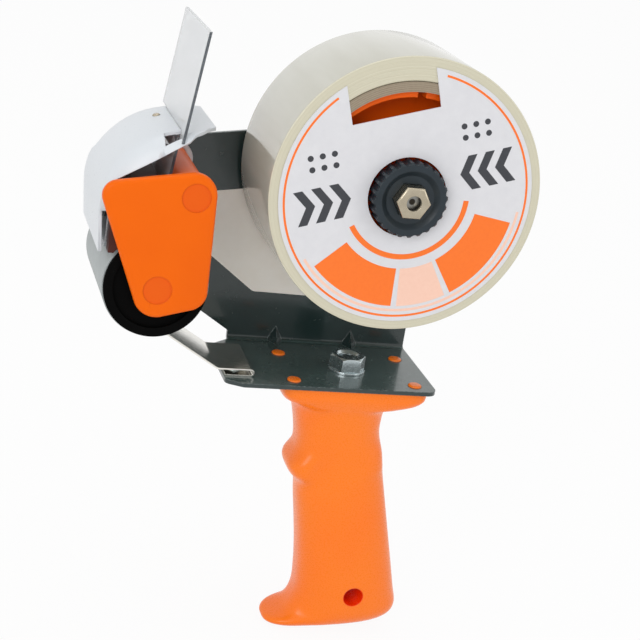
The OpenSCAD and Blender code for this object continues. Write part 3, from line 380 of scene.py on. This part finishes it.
peg_r, peg_sunk, peg_high, peg_edge = 2.6, 1.0, 2.2, 0.5
pegs_x, peg_aside_x, peg_aside_y = -7.6, 24.0, 13.5
hole_x, hole_z, hole_r, hole_reach = 6.7, -28.7, 4.0, 40.0
around = np.linspace(0, 2*np.pi, 40, False)
circle = np.column_stack([np.cos(around), np.sin(around)])
grip = surface("grip", (grip_skin() + np.array([grip_ahead, 0, grip_top]))/1000, close_v=True)
mend(grip)
hole_rings = ((0, -hole_reach), (hole_r, -hole_reach), (hole_r, hole_reach), (0, hole_reach))
hang_hole = np.stack([np.column_stack([hole_x + r*circle[:, 0], np.full(len(circle), y), hole_z + r*circle[:, 1]])
                      for r, y in hole_rings])
hole_tool = surface("hang_hole", hang_hole/1000, close_v=True)
mend(hole_tool)
cut(grip, hole_tool)
peg = slab(peg_r*circle, grip_top - peg_sunk, grip_top + peg_high, peg_edge)
pegs = [surface("peg", (peg + np.array([pegs_x + x*peg_aside_x, y*peg_aside_y, 0]))/1000, close_v=True)
        for x in (-1, 1) for y in (-1, 1)]
handle_moulding = together("handle_moulding", [grip] + pegs)
mend(handle_moulding)


def orange_moulded(name, colour, deep, rough, edge=0.0006, gloss=0.2):
    """Orange moulding: broad flow clouds in the colour, a fine spark-eroded grain, softly broken edges."""
    material = finish(name, colour, rough, Specular_IOR_Level=gloss)
    here = placed(material)
    flow = span(material, noise(material, here, 28, 2), 0.3, 0.75)
    into(material, mixed(material, flow, colour, deep), "Base Color")
    into(material, span(material, noise(material, here, 1900), 0.25, 0.75, rough - 0.05, rough + 0.08), "Roughness")
    relief(material, noise(material, here, 2600, 2), 0.000025, edge)
    return material


def off_axis(material, where):
    """Distance from the line across the gun that runs through the centre which the place is measured from."""
    beside = add(material, "ShaderNodeVectorMath", [(0, where), (1, (1, 0, 1))], operation="MULTIPLY").outputs[0]
    return add(material, "ShaderNodeVectorMath", [(0, beside)], operation="LENGTH").outputs["Value"]


def overlaid(material, share, colour):
    """A colour laid over the material's base colour, by a share of 0 to 1."""
    base = material.node_tree.nodes["Principled BSDF"].inputs["Base Color"].links[0].from_socket
    into(material, mixed(material, share, base, colour), "Base Color")


# The wall of the hanging hole is painted a deep red: painted shade in the bore, and painted light that shines through
# the thin plastic there.
hole_rim_out, hole_rim_in = 0.0043, 0.00405
handle_orange = orange_moulded("handle_orange", shade(255, 126, 10), shade(255, 119, 4), 0.27, gloss=0.42)
from_hole = off_axis(handle_orange, placed(handle_orange, centre=(hole_x/1000, 0, hole_z/1000)))
overlaid(handle_orange, span(handle_orange, from_hole, hole_rim_out, hole_rim_in), shade(255, 62, 0))
handle_moulding.data.materials.append(handle_orange)
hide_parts("handle")
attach(handle_moulding, "gun")


# Stud, washer and hexagon nut in bright zinc plate, which pull the handle up against the base plate.
# The rivets, screws and washers of the gun and the roller's axle are plated in the same bath.
def plated(name, colour, rough, wear):
    """Plated steel: drifting roughness, a faint turned grain, and edges that catch the light."""
    material = finish(name, colour, rough, 1.0)
    here = placed(material)
    mottled(material, here, 260, colour, wear)
    into(material, span(material, noise(material, here, 900), 0.3, 0.7, rough - 0.06, rough + 0.1), "Roughness")
    relief(material, noise(material, here, 3200, 2), 0.00001, 0.0004)
    return material


zinc_plate = plated("zinc_plate", shade(206, 216, 218), 0.2, shade(186, 197, 200))
dress(zinc_plate, "handle_stud", "handle_washer", "handle_nut", "gate_rivets", "axle_washer",
      "axle_lock_nut", "post_screw", "roller_axle", "carrier_screws", "blade_screws", "pressure_washer")

# Gate strip of rolled spring steel under the roller, riveted flat to the base plate, its lip rolled down.
# The tape runs between it and the roller. The strip is bright, with a grain along its length.
strip_slope, strip_grain = 0.57, 18
strip_steel = finish("strip_spring_steel", shade(236, 234, 227), 0.16, 1.0)
here = placed(strip_steel, turn=(0, strip_slope, 0), stretch=(1, strip_grain, 1))
mottled(strip_steel, here, 120, shade(240, 238, 231), shade(224, 221, 213))
into(strip_steel, span(strip_steel, noise(strip_steel, here, 400), 0.3, 0.7, 0.11, 0.2), "Roughness")
relief(strip_steel, noise(strip_steel, here, 500), 0.000003, 0.0002)
dress(strip_steel, "gate_strip")

# Reel axle: turned steel rod, clamped in the side plate by its lock nut and threaded at the knob's end.
# Its plating is dull with oil, and the middle of its end is painted dark: painted shade in the lathe's centre hole.
reel_x, reel_z = -0.004, 0.14
centre_shade_out, centre_shade_in = 0.0013, 0.0010
axle_steel = plated("axle_steel", shade(150, 150, 146), 0.3, shade(122, 121, 116))
# Painted shade: a dark disc in the middle of the axle's end.
off_middle = off_axis(axle_steel, placed(axle_steel, centre=(reel_x, 0, reel_z)))
overlaid(axle_steel, span(axle_steel, off_middle, centre_shade_out, centre_shade_in), shade(52, 48, 42))
dress(axle_steel, "reel_axle")

# Fibre washer between the hub and the side plate: punched from pressed brown board and loose on the axle.
# The hub rubs on it, as hard as the knob is set.
brown_fibre = finish("brown_fibre", shade(98, 66, 46), 0.75)
here = placed(brown_fibre)
mottled(brown_fibre, here, 900, shade(84, 54, 38), shade(120, 84, 60), 5)
relief(brown_fibre, noise(brown_fibre, here, 2400, 4), 0.00005)
dress(brown_fibre, "friction_washer")

# Hub that the roll is pushed on to: slotted drum, web, spokes and rear flange, moulded in one piece of orange
# plastic. It turns on the axle between the fibre washer and the brake's spring.
hub_orange = orange_moulded("hub_orange", shade(255, 108, 12), shade(244, 94, 6), 0.34)
dress(hub_orange, "hub")

# Paper core of the roll: grey-brown board, wound on a slant in glued plies that show as rings on its cut end.
# It grips the hub's drum, and the tape is wound on it.
ply_rings = 9000.0
core_board = finish("core_board", shade(150, 136, 116), 0.8)
here = placed(core_board, centre=(reel_x, 0, reel_z))
plies = maths(core_board, "SINE", maths(core_board, "MULTIPLY", off_axis(core_board, here), ply_rings))
fibres = maths(core_board, "MULTIPLY", span(core_board, plies, -1, 1), noise(core_board, here, 800, 5))
into(core_board, mixed(core_board, fibres, shade(158, 144, 124), shade(120, 106, 88)), "Base Color")
relief(core_board, fibres, 0.00006)
dress(core_board, "tape_core")


# Roll of clear packing tape: many turns of thin film, cream in the depth of its edges and glossy outside,
# where the winding shows as faint bands across the film.
def turned(name, section, centre, steps):
    """A closed section [k, (radius, y)] in millimetres carried round the Y axis through a centre (x, z)."""
    angle = np.linspace(0, 2*np.pi, steps, False)[:, None]
    r, y = section[None, :, 0], section[None, :, 1]
    points = np.stack([centre[0] + r*np.cos(angle), y + 0*angle, centre[1] + r*np.sin(angle)], -1)
    return surface(name, points/1000, True, True)


roll_in, roll_out, roll_half, roll_edge = 41.8, 50.8, 24.0, 0.5
face_steps, groove_depth = 64, 0.05
wound = np.random.default_rng(7)
rise = np.convolve(wound.normal(0, groove_depth, face_steps + 4), np.ones(3)/3, "same")[2:-2]
across = np.linspace(roll_in + roll_edge, roll_out - roll_edge, face_steps)
quarter = np.linspace(0, np.pi/2, 6)
edge_sin, edge_cos = roll_edge*(1 - np.sin(quarter)), roll_edge*(1 - np.cos(quarter))
outer_near = np.column_stack([roll_out - edge_sin, -roll_half + edge_cos])
outer_far = np.column_stack([roll_out - edge_cos, roll_half - edge_sin])
near_face = np.column_stack([across, -roll_half + np.abs(rise)])
far_face = np.column_stack([across[::-1], roll_half - np.abs(rise[::-1])])
inner = np.array([(roll_in, roll_half - roll_edge), (roll_in, roll_edge - roll_half)])
roll_section = np.concatenate([near_face, outer_near[1:], outer_far, far_face, inner])
wound_tape = turned("wound_tape", roll_section, (reel_x*1000, reel_z*1000), 288)
mend(wound_tape, math.radians(60))
film_ends, edge_begins = 0.0234, 0.0238
tape_film = finish("tape_film", shade(200, 199, 187), 0.2, Coat_Weight=0.35, Coat_Roughness=0.08)
here = placed(tape_film, centre=(reel_x, 0, reel_z))
drawn_out = add(tape_film, "ShaderNodeVectorMath", [(0, here), (1, (1, 0.12, 1))], operation="MULTIPLY").outputs[0]
bands = noise(tape_film, drawn_out, 70)
outside = mixed(tape_film, span(tape_film, bands, 0.3, 0.72), shade(204, 203, 192), shade(188, 186, 171))
by_radius = add(tape_film, "ShaderNodeCombineXYZ", [("X", off_axis(tape_film, here))]).outputs[0]
rings = noise(tape_film, by_radius, 2600, 2)
edges = mixed(tape_film, span(tape_film, rings, 0.3, 0.7), shade(216, 212, 191), shade(196, 190, 164))
from_middle = maths(tape_film, "ABSOLUTE", add(tape_film, "ShaderNodeSeparateXYZ", [(0, here)]).outputs["Y"])
on_edge = span(tape_film, from_middle, film_ends, edge_begins)
into(tape_film, mixed(tape_film, on_edge, outside, edges), "Base Color")
into(tape_film, span(tape_film, on_edge, 0, 1, 0.12, 0.32), "Roughness")
relief(tape_film, maths(tape_film, "ADD", bands, rings), 0.00003)
wound_tape.data.materials.append(tape_film)
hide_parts("tape_roll")
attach(wound_tape, "reel")

# Printed card on the open face of the roll: coated white board, die-cut round the knob and round a window.
# Its print is plain: an orange line near the rim, a segmented band below the knob, arrowheads and rows of dots.
card_paper = finish("card_paper", shade(219, 219, 222), 0.42)
here = placed(card_paper)
mottled(card_paper, here, 300, shade(214, 214, 218), shade(224, 224, 227), 4)
relief(card_paper, noise(card_paper, here, 2600, 4), 0.00001)
dress(card_paper, "label_card")
card_face, card_turn = -24.4, math.radians(17.3)
ink_sunk, ink_proud = 0.005, 0.04


def printed(name, areas, ink):
    """Ink on the card: each area is a grid of card places [a, b, (right, up)] in millimetres, turned with the card
    and made a thin slab: its face stands proud of the card, and a wall round it goes down into the card."""
    pieces = []
    for area in areas:
        right = area[..., 0]*math.cos(card_turn) - area[..., 1]*math.sin(card_turn)
        up = area[..., 0]*math.sin(card_turn) + area[..., 1]*math.cos(card_turn)
        foot, face = [np.stack([reel_x*1000 + right, np.full(right.shape, y), reel_z*1000 + up], -1)
                      for y in (card_face + ink_sunk, card_face - ink_proud)]
        wall = np.stack([np.concatenate([level[:, 0], level[-1, 1:], level[-2::-1, -1], level[0, -2:0:-1]])
                         for level in (face, foot)])
        pieces.append(surface("ink_face", face/1000))
        pieces.append(surface("ink_side", wall/1000, close_v=True))
    ink_piece = together(name, pieces)
    mend(ink_piece)
    ink_piece.data.materials.append(ink)
    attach(ink_piece, "reel")


def fan(r0, r1, from_deg, to_deg, steps=48):
    """A piece of a ring: radius by angle, counted from the card's right-hand side."""
    angle = np.radians(np.linspace(from_deg, to_deg, steps))[None, :]
    r = np.linspace(r0, r1, 3)[:, None]
    return np.stack([r*np.cos(angle), r*np.sin(angle)], -1)


def patch(p00, p10, p11, p01):
    """A four-cornered area, straight between its corners."""
    a = np.linspace(0, 1, 2)[:, None, None]
    b = np.linspace(0, 1, 2)[None, :, None]
    p = [np.array(q, float) for q in (p00, p10, p11, p01)]
    return (1 - a)*(1 - b)*p[0] + a*(1 - b)*p[1] + a*b*p[2] + (1 - a)*b*p[3]


def ink_of(name, colour, deep):
    """Printing ink: slightly uneven colour on coated paper, a little glossier than the paper."""
    material = finish(name, colour, 0.36)
    here = placed(material)
    mottled(material, here, 700, colour, deep, 4)
    relief(material, noise(material, here, 2600), 0.000008)
    return material


orange_ink = ink_of("orange_ink", shade(255, 122, 26), shade(248, 112, 20))
peach_ink = ink_of("peach_ink", shade(250, 208, 188), shade(244, 198, 176))
dark_ink = ink_of("dark_ink", shade(44, 46, 52), shade(58, 60, 66))
rim_line, band, knob_line, foot_line = (44.9, 45.7), (27, 41.5), (21.5, 23.5), (42.6, 43.6)
printed("card_print_orange", [fan(*rim_line, 116, 424, 160), fan(*band, 206, 254), fan(*band, 286, 334),
                              fan(*knob_line, 196, 344, 90)], orange_ink)
printed("card_print_peach", [fan(*band, 257, 283, 30), fan(*foot_line, 200, 340, 90)], peach_ink)
arrow_in, arrow_pitch, arrow_stroke, arrow_lean, arrow_z, arrow_half = 20.5, 6.6, 3.4, 3.8, 4, 6.4
arrows = []
for side in (-1, 1):
    for k in range(3):
        x = side*(arrow_in + arrow_pitch*k)
        tip, lean = x + side*arrow_stroke, side*arrow_lean
        for end_z in (arrow_z - arrow_half, arrow_z + arrow_half):
            arrows.append(patch((x, arrow_z), (tip, arrow_z), (tip + lean, end_z), (x + lean, end_z)))
dot_r, dot_in, dot_z, dot_pitch_x, dot_pitch_z = 1.1, 24, 17.2, 4.4, 4.2
dots = [fan(0.0, dot_r, 0, 360, 20) + np.array([side*(dot_in + dot_pitch_x*i), dot_z + dot_pitch_z*j])
        for side in (-1, 1) for i in range(3) for j in range(2)]
printed("card_print_dark", arrows + dots, dark_ink)


# Compression spring of the reel brake: round steel wire, wound cold in four and a half turns.
# It is held between the pressure washer and the hub, and shortens as the knob is tightened.
def wire_along(name, path, r, sides=14):
    """Round wire along a path [k, xyz] in millimetres: circles of radius r that stand square to the path,
    centre + r*(cos(a)*side + sin(a)*over), closed at both ends."""
    ahead = np.gradient(path, axis=0)
    ahead /= np.linalg.norm(ahead, axis=1, keepdims=True)
    side = np.cross(np.array([0.0, 1.0, 0.0]), ahead)
    side /= np.linalg.norm(side, axis=1, keepdims=True)
    over = np.cross(ahead, side)
    a = np.linspace(0, 2*np.pi, sides, False)[None, :, None]
    rings = path[:, None] + r*(np.cos(a)*side[:, None] + np.sin(a)*over[:, None])
    ends = [np.repeat(path[k][None, None], sides, 1) for k in (0, -1)]
    wire = surface(name, np.concatenate([ends[0], rings, ends[1]])/1000, close_v=True)
    mend(wire, math.radians(50))
    return wire


brake_turns, brake_r, brake_wire_r, brake_y, brake_long = 4.5, 7, 0.7, -19.85, 9.1
spring_steel = plated("bright_spring_steel", shade(190, 192, 196), 0.24, shade(170, 172, 178))
turn = np.linspace(0, 2*np.pi*brake_turns, 200)
brake_path = np.column_stack([reel_x*1000 + brake_r*np.cos(turn), brake_y + brake_long*turn/turn[-1],
                              reel_z*1000 + brake_r*np.sin(turn)])
brake_spring = wire_along("brake_spring", brake_path, brake_wire_r)
brake_spring.data.materials.append(spring_steel)
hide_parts("tension_spring")
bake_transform(brake_spring)

# Tension knob: black moulding with finger scallops round its rim. It is moulded over a plated hexagon insert
# with broken edges, which is threaded on the end of the reel axle. The guard's small rivet is plated alike.
knob_black = finish("knob_black", shade(26, 34, 40), 0.36, Specular_IOR_Level=0.35)
here = placed(knob_black)
mottled(knob_black, here, 120, shade(24, 34, 40), shade(37, 48, 56))
into(knob_black, span(knob_black, noise(knob_black, here, 1200), 0.25, 0.75, 0.28, 0.44), "Roughness")
relief(knob_black, noise(knob_black, here, 2600, 2), 0.00003, 0.0006)
dress(knob_black, "tension_knob")
insert_plate = plated("insert_plate", shade(196, 186, 166), 0.24, shade(156, 146, 126))
dress(insert_plate, "guard_rivet")


def merged_copy(name, node):
    """A copy of a solid's mesh as a new piece, its loose triangles joined at their points."""
    piece = bpy.data.objects.new(name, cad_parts[node].data.copy())
    bpy.context.scene.collection.objects.link(piece)
    work = bmesh.new()
    work.from_mesh(piece.data)
    bmesh.ops.remove_doubles(work, verts=work.verts, dist=1e-6)
    work.to_mesh(piece.data)
    work.free()
    piece.data.materials.clear()
    return piece


def round_rim(piece, y_face, marks, clear_of_marks, radius):
    """Rounds the outline of the face at y_face: flat triangles are joined into whole faces first, and every edge
    between that face and the walls round it, away from the marks, gives way to a quarter circle of the radius."""
    flat_angle, near_face, wall_lean, face_lean = 0.004, 2e-5, 0.1, 0.9
    work = bmesh.new()
    work.from_mesh(piece.data)
    bmesh.ops.dissolve_limit(work, angle_limit=flat_angle, verts=work.verts, edges=work.edges)
    rim = []
    for edge in work.edges:
        at = (edge.verts[0].co + edge.verts[1].co)/2
        on_face = all(abs(v.co.y - y_face) < near_face for v in edge.verts)
        leans = sorted(abs(face.normal.y) for face in edge.link_faces)
        apart = min(math.hypot(at.x - x, at.z - z) for x, z in marks)
        square = len(leans) == 2 and leans[0] < wall_lean and leans[1] > face_lean
        if on_face and square and apart > clear_of_marks:
            rim.append(edge)
    bmesh.ops.bevel(work, geom=rim, offset=radius, segments=5, profile=0.5, affect="EDGES", clamp_overlap=False)
    work.to_mesh(piece.data)
    work.free()


insert_bore_clear, insert_edge, crease = 0.0035, 0.0009, math.radians(32)
hex_insert = merged_copy("hex_insert", "knob_insert")
round_rim(hex_insert, float(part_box("knob_insert")[0][1]), ((reel_x, reel_z),), insert_bore_clear, insert_edge)
smoothed(hex_insert, crease)
hex_insert.data.materials.append(insert_plate)
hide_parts("knob_insert")
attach(hex_insert, "knob")

# Front plate on the open side, an orange moulding with a round rim and two shallow round marks, over the ends of
# the roller's axle and of the cross post. The post, in the same plastic, is held to the side plate by its screw.
# The cross post is painted a lighter, paler orange than the front plate of the same plastic: painted light.
plate_orange = orange_moulded("plate_orange", shade(250, 112, 36), shade(244, 104, 28), 0.38, 0.0009)
dress(plate_orange, "cross_post")
plate_marks = ((-0.0903, 0.1), (-0.0808, 0.1343))
mark_r, mark_inner_r, plate_edge = 0.0054, 0.0048, 0.0016
front_plate = merged_copy("front_plate", "near_plate")
round_rim(front_plate, float(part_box("near_plate")[0][1]), plate_marks, mark_r, plate_edge)
smoothed(front_plate, crease)
marked_orange = orange_moulded("front_plate_orange", shade(243, 105, 0), shade(237, 98, 0), 0.34, gloss=0.14)
for x, z in plate_marks:
    from_mark = off_axis(marked_orange, placed(marked_orange, centre=(x, 0, z)))
    overlaid(marked_orange, span(marked_orange, from_mark, mark_r, mark_inner_r, 0, 0.75), shade(232, 92, 18))
front_plate.data.materials.append(marked_orange)
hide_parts("near_plate")
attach(front_plate, "gun")

# Front roller: a spoked black moulding, closed at its near end, inside a sleeve of smooth grey rubber.
# It turns freely on an axle that is riveted over outside the side plate.
roller_black = finish("roller_black", shade(6, 6, 6), 0.55, Specular_IOR_Level=0.03)
here = placed(roller_black)
mottled(roller_black, here, 150, shade(4, 4, 4), shade(9, 9, 9))
relief(roller_black, noise(roller_black, here, 2200, 2), 0.00002, 0.0005)
dress(roller_black, "roller_core")
roller_rubber = finish("roller_rubber", shade(166, 172, 172), 0.5)
here = placed(roller_rubber)
mottled(roller_rubber, here, 220, shade(158, 164, 164), shade(174, 180, 180), 4)
relief(roller_rubber, noise(roller_rubber, here, 3000), 0.00003, 0.0004)
dress(roller_rubber, "roller_sleeve")

# Blade carrier above the roller: a moulding whose feet reach both plates. Its dark red-brown is painted shade under
# the hood, with a painted red cast of light bounced from the orange plates. Two screws hold it to the side plate, and
# a peg on its near foot sits in the front plate.
carrier_shaded_brown = finish("carrier_shaded_brown", shade(66, 32, 26), 0.5, Specular_IOR_Level=0.2)
here = placed(carrier_shaded_brown)
mottled(carrier_shaded_brown, here, 140, shade(54, 26, 21), shade(84, 42, 34))
relief(carrier_shaded_brown, noise(carrier_shaded_brown, here, 2400, 2), 0.00002, 0.0005)
dress(carrier_shaded_brown, "blade_carrier")

# Blade: strip of hard rolled steel, its grain along its length, with saw teeth ground in its lower edge.
# Two screws hold it to the front of its carrier.
blade_grain = 14
blade_steel = finish("blade_steel", shade(200, 202, 205), 0.22, 1.0)
here = placed(blade_steel, stretch=(1, 1, blade_grain))
mottled(blade_steel, here, 180, shade(208, 210, 213), shade(180, 182, 186))
relief(blade_steel, noise(blade_steel, here, 900), 0.00001, 0.0002)
dress(blade_steel, "blade")

# Guard over the blade: a thin white moulded hood with a large round front and edges that roll inwards.
# It hangs by two arms on the cross post, and lifts when the gun is pressed on a carton.
guard_white = finish("guard_white", shade(216, 220, 225), 0.3, Specular_IOR_Level=0.5)
here = placed(guard_white)
mottled(guard_white, here, 26, shade(212, 217, 222), shade(221, 225, 229), 2)
into(guard_white, span(guard_white, noise(guard_white, here, 1400), 0.25, 0.75, 0.26, 0.38), "Roughness")
relief(guard_white, noise(guard_white, here, 2400, 2), 0.00002, 0.0004)
guard_hood = merged_copy("guard_hood", "guard")
smoothed(guard_hood, crease)
guard_hood.data.materials.append(guard_white)
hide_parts("guard")
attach(guard_hood, "guard")
guard_pivot, guard_tilt = np.array([-80.8, 0.0, 134.3]), math.radians(5.5)
guard_wall, guard_edge_y, roll_r, least_roll = 1.2, 24.0, 8.0, 0.0152
hood_corner, hood_corner_r, hood_rear_x, roof_fall = np.array([-4.0, -7.8]), 29.0, 9.6, 1.2
edge_low, edge_run, edge_rise = np.array([-31.0, 3.7]), 38.0, 19.6
cut_x, cut_slope, cut_lap = -5.0, 15/14.6, 1.2
rear_inset, rear_power = 19.4, 1.9
rim_from, rim_to, rim_band, rim_slack = -12.4, 8.0, 2.8, 0.03


def hood_rim(steps=56, turns=9):
    """The hood's rolled edge on the open side, past the flap's notch and round the rear corner. Across the roof the
    sheet is flat, then an arc of radius roll_r that ends on the slanting line of the edge. A place across the roof is
    q, the way along the sheet from the start of the arc. The rim ends where the rear corner's curve cuts the sheet:
    the edge's y, less rear_inset times the share of the way to the rear, to the power of rear_power. It reaches back
    by the band, and under the hood's own straight cut, inside the hood's wall. The sheet always turns by 10 degrees
    or more: least_roll is 1 less the cosine of that."""
    slope = np.array([edge_run, edge_rise])/math.hypot(edge_run, edge_rise)
    edge_up = np.array([-slope[1], slope[0]])
    x = np.linspace(rim_from, rim_to, steps)
    a = np.arccos(np.clip((x - hood_corner[0])/hood_corner_r, -1, 1))
    on_round = (x < hood_corner[0])[:, None]
    out = np.where(on_round, np.column_stack([np.cos(a), np.sin(a)]), [0.0, 1.0])
    rearward = (x - hood_corner[0])/(hood_rear_x - hood_corner[0])
    roof = np.column_stack([x, hood_corner[1] + hood_corner_r - roof_fall*rearward])
    base = np.where(on_round, hood_corner + hood_corner_r*out, roof)
    depth = ((base - edge_low) @ edge_up)/(out @ edge_up)
    last = np.arccos(1 - np.clip(depth/roll_r, least_roll, 1))
    flat_y = guard_edge_y - guard_wall/2 - roll_r*np.sin(last)

    def along(edge_y):
        aside = np.minimum(edge_y - flat_y, roll_r*np.sin(last))
        return np.where(aside > 0, roll_r*np.arcsin(np.clip(aside/roll_r, 0, 1)), aside)

    stop = along(guard_edge_y - rear_inset*np.maximum(rearward, 0)**rear_power)
    begin = np.minimum(stop - rim_band, along(guard_edge_y - cut_slope*np.maximum(x - cut_x, 0) - cut_lap))
    q = begin[:, None] + (stop - begin)[:, None]*np.linspace(0, 1, turns)[None, :]
    q = np.concatenate([q, q[:, ::-1]], 1)
    half = guard_wall/2 - rim_slack
    face = np.concatenate([np.full(turns, half), np.full(turns, -half)])[None, :]
    turn = np.maximum(q, 0)/roll_r
    down = guard_wall/2 + roll_r*(1 - np.cos(turn)) - face*np.cos(turn)
    y = -(flat_y[:, None] + roll_r*np.sin(turn) + np.minimum(q, 0) + face*np.sin(turn))
    side = base[:, None] - out[:, None]*down[..., None]
    c, s = math.cos(guard_tilt), math.sin(guard_tilt)
    rim = np.stack([c*side[..., 0] - s*side[..., 1], y, s*side[..., 0] + c*side[..., 1]], -1) + guard_pivot
    ends = [np.repeat(rim[k].mean(0)[None, None], rim.shape[1], 1) for k in (0, -1)]
    return np.concatenate([ends[0], rim, ends[1]])/1000


guard_rim = surface("guard_rim", hood_rim(), close_v=True)
mend(guard_rim)
guard_rim.data.materials.append(guard_white)
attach(guard_rim, "guard")

# Clear flap of stiff plastic sheet, which strokes the tape down. It stands in a pocket of the guard's roof and is
# held by a small rivet. Its cut edges are painted dark grey: painted shade for how light leaves a clear sheet's
# edges.
sheet_clear = shade(238, 240, 242)
flap_clear = finish("flap_clear", sheet_clear, 0.06, Transmission_Weight=0.5, IOR=1.49)
here = placed(flap_clear)
into(flap_clear, span(flap_clear, noise(flap_clear, here, 90, 4), 0.3, 0.7, 0.04, 0.12), "Roughness")
true_normal = add(flap_clear, "ShaderNodeNewGeometry").outputs["True Normal"]
sideways = maths(flap_clear, "ABSOLUTE", add(flap_clear, "ShaderNodeSeparateXYZ", [(0, true_normal)]).outputs["Y"])
# Faces that look sideways, the cut edges, are painted dark grey: painted shade.
into(flap_clear, mixed(flap_clear, span(flap_clear, sideways, 0.3, 0.6), sheet_clear, shade(96, 102, 108)),
     "Base Color")
dress(flap_clear, "flap")

# Torsion spring on the cross post, beside the side plate: thin round wire in two and a half turns.
# One straight leg rests on the fixed parts, and the other holds the guard down over the blade.
coil_r, coil_y, coil_long, coil_wire_r, leg, leg_gap = 6.1, 27.15, 2.7, 0.3, 15, 0.5
first_turn, last_turn = math.radians(-78), math.radians(90 + 2*360)
turn = np.linspace(first_turn, last_turn, 130)
wound_share = (turn - first_turn)/(last_turn - first_turn)
coil = np.column_stack([coil_r*np.cos(turn), -coil_long*wound_share, coil_r*np.sin(turn)])
leg_ahead = np.array([-math.sin(first_turn), 0, math.cos(first_turn)])
first_leg = coil[0] - np.linspace(leg, leg_gap, 8)[:, None]*leg_ahead
last_leg = coil[-1] + np.linspace(leg_gap, leg, 8)[:, None]*np.array([-1.0, 0, 0])
return_path = np.concatenate([first_leg, coil, last_leg]) + guard_pivot + np.array([0, coil_y, 0])
guard_return = wire_along("guard_return_spring", return_path, coil_wire_r, 10)
guard_return.data.materials.append(spring_steel)
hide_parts("guard_spring")
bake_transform(guard_return)
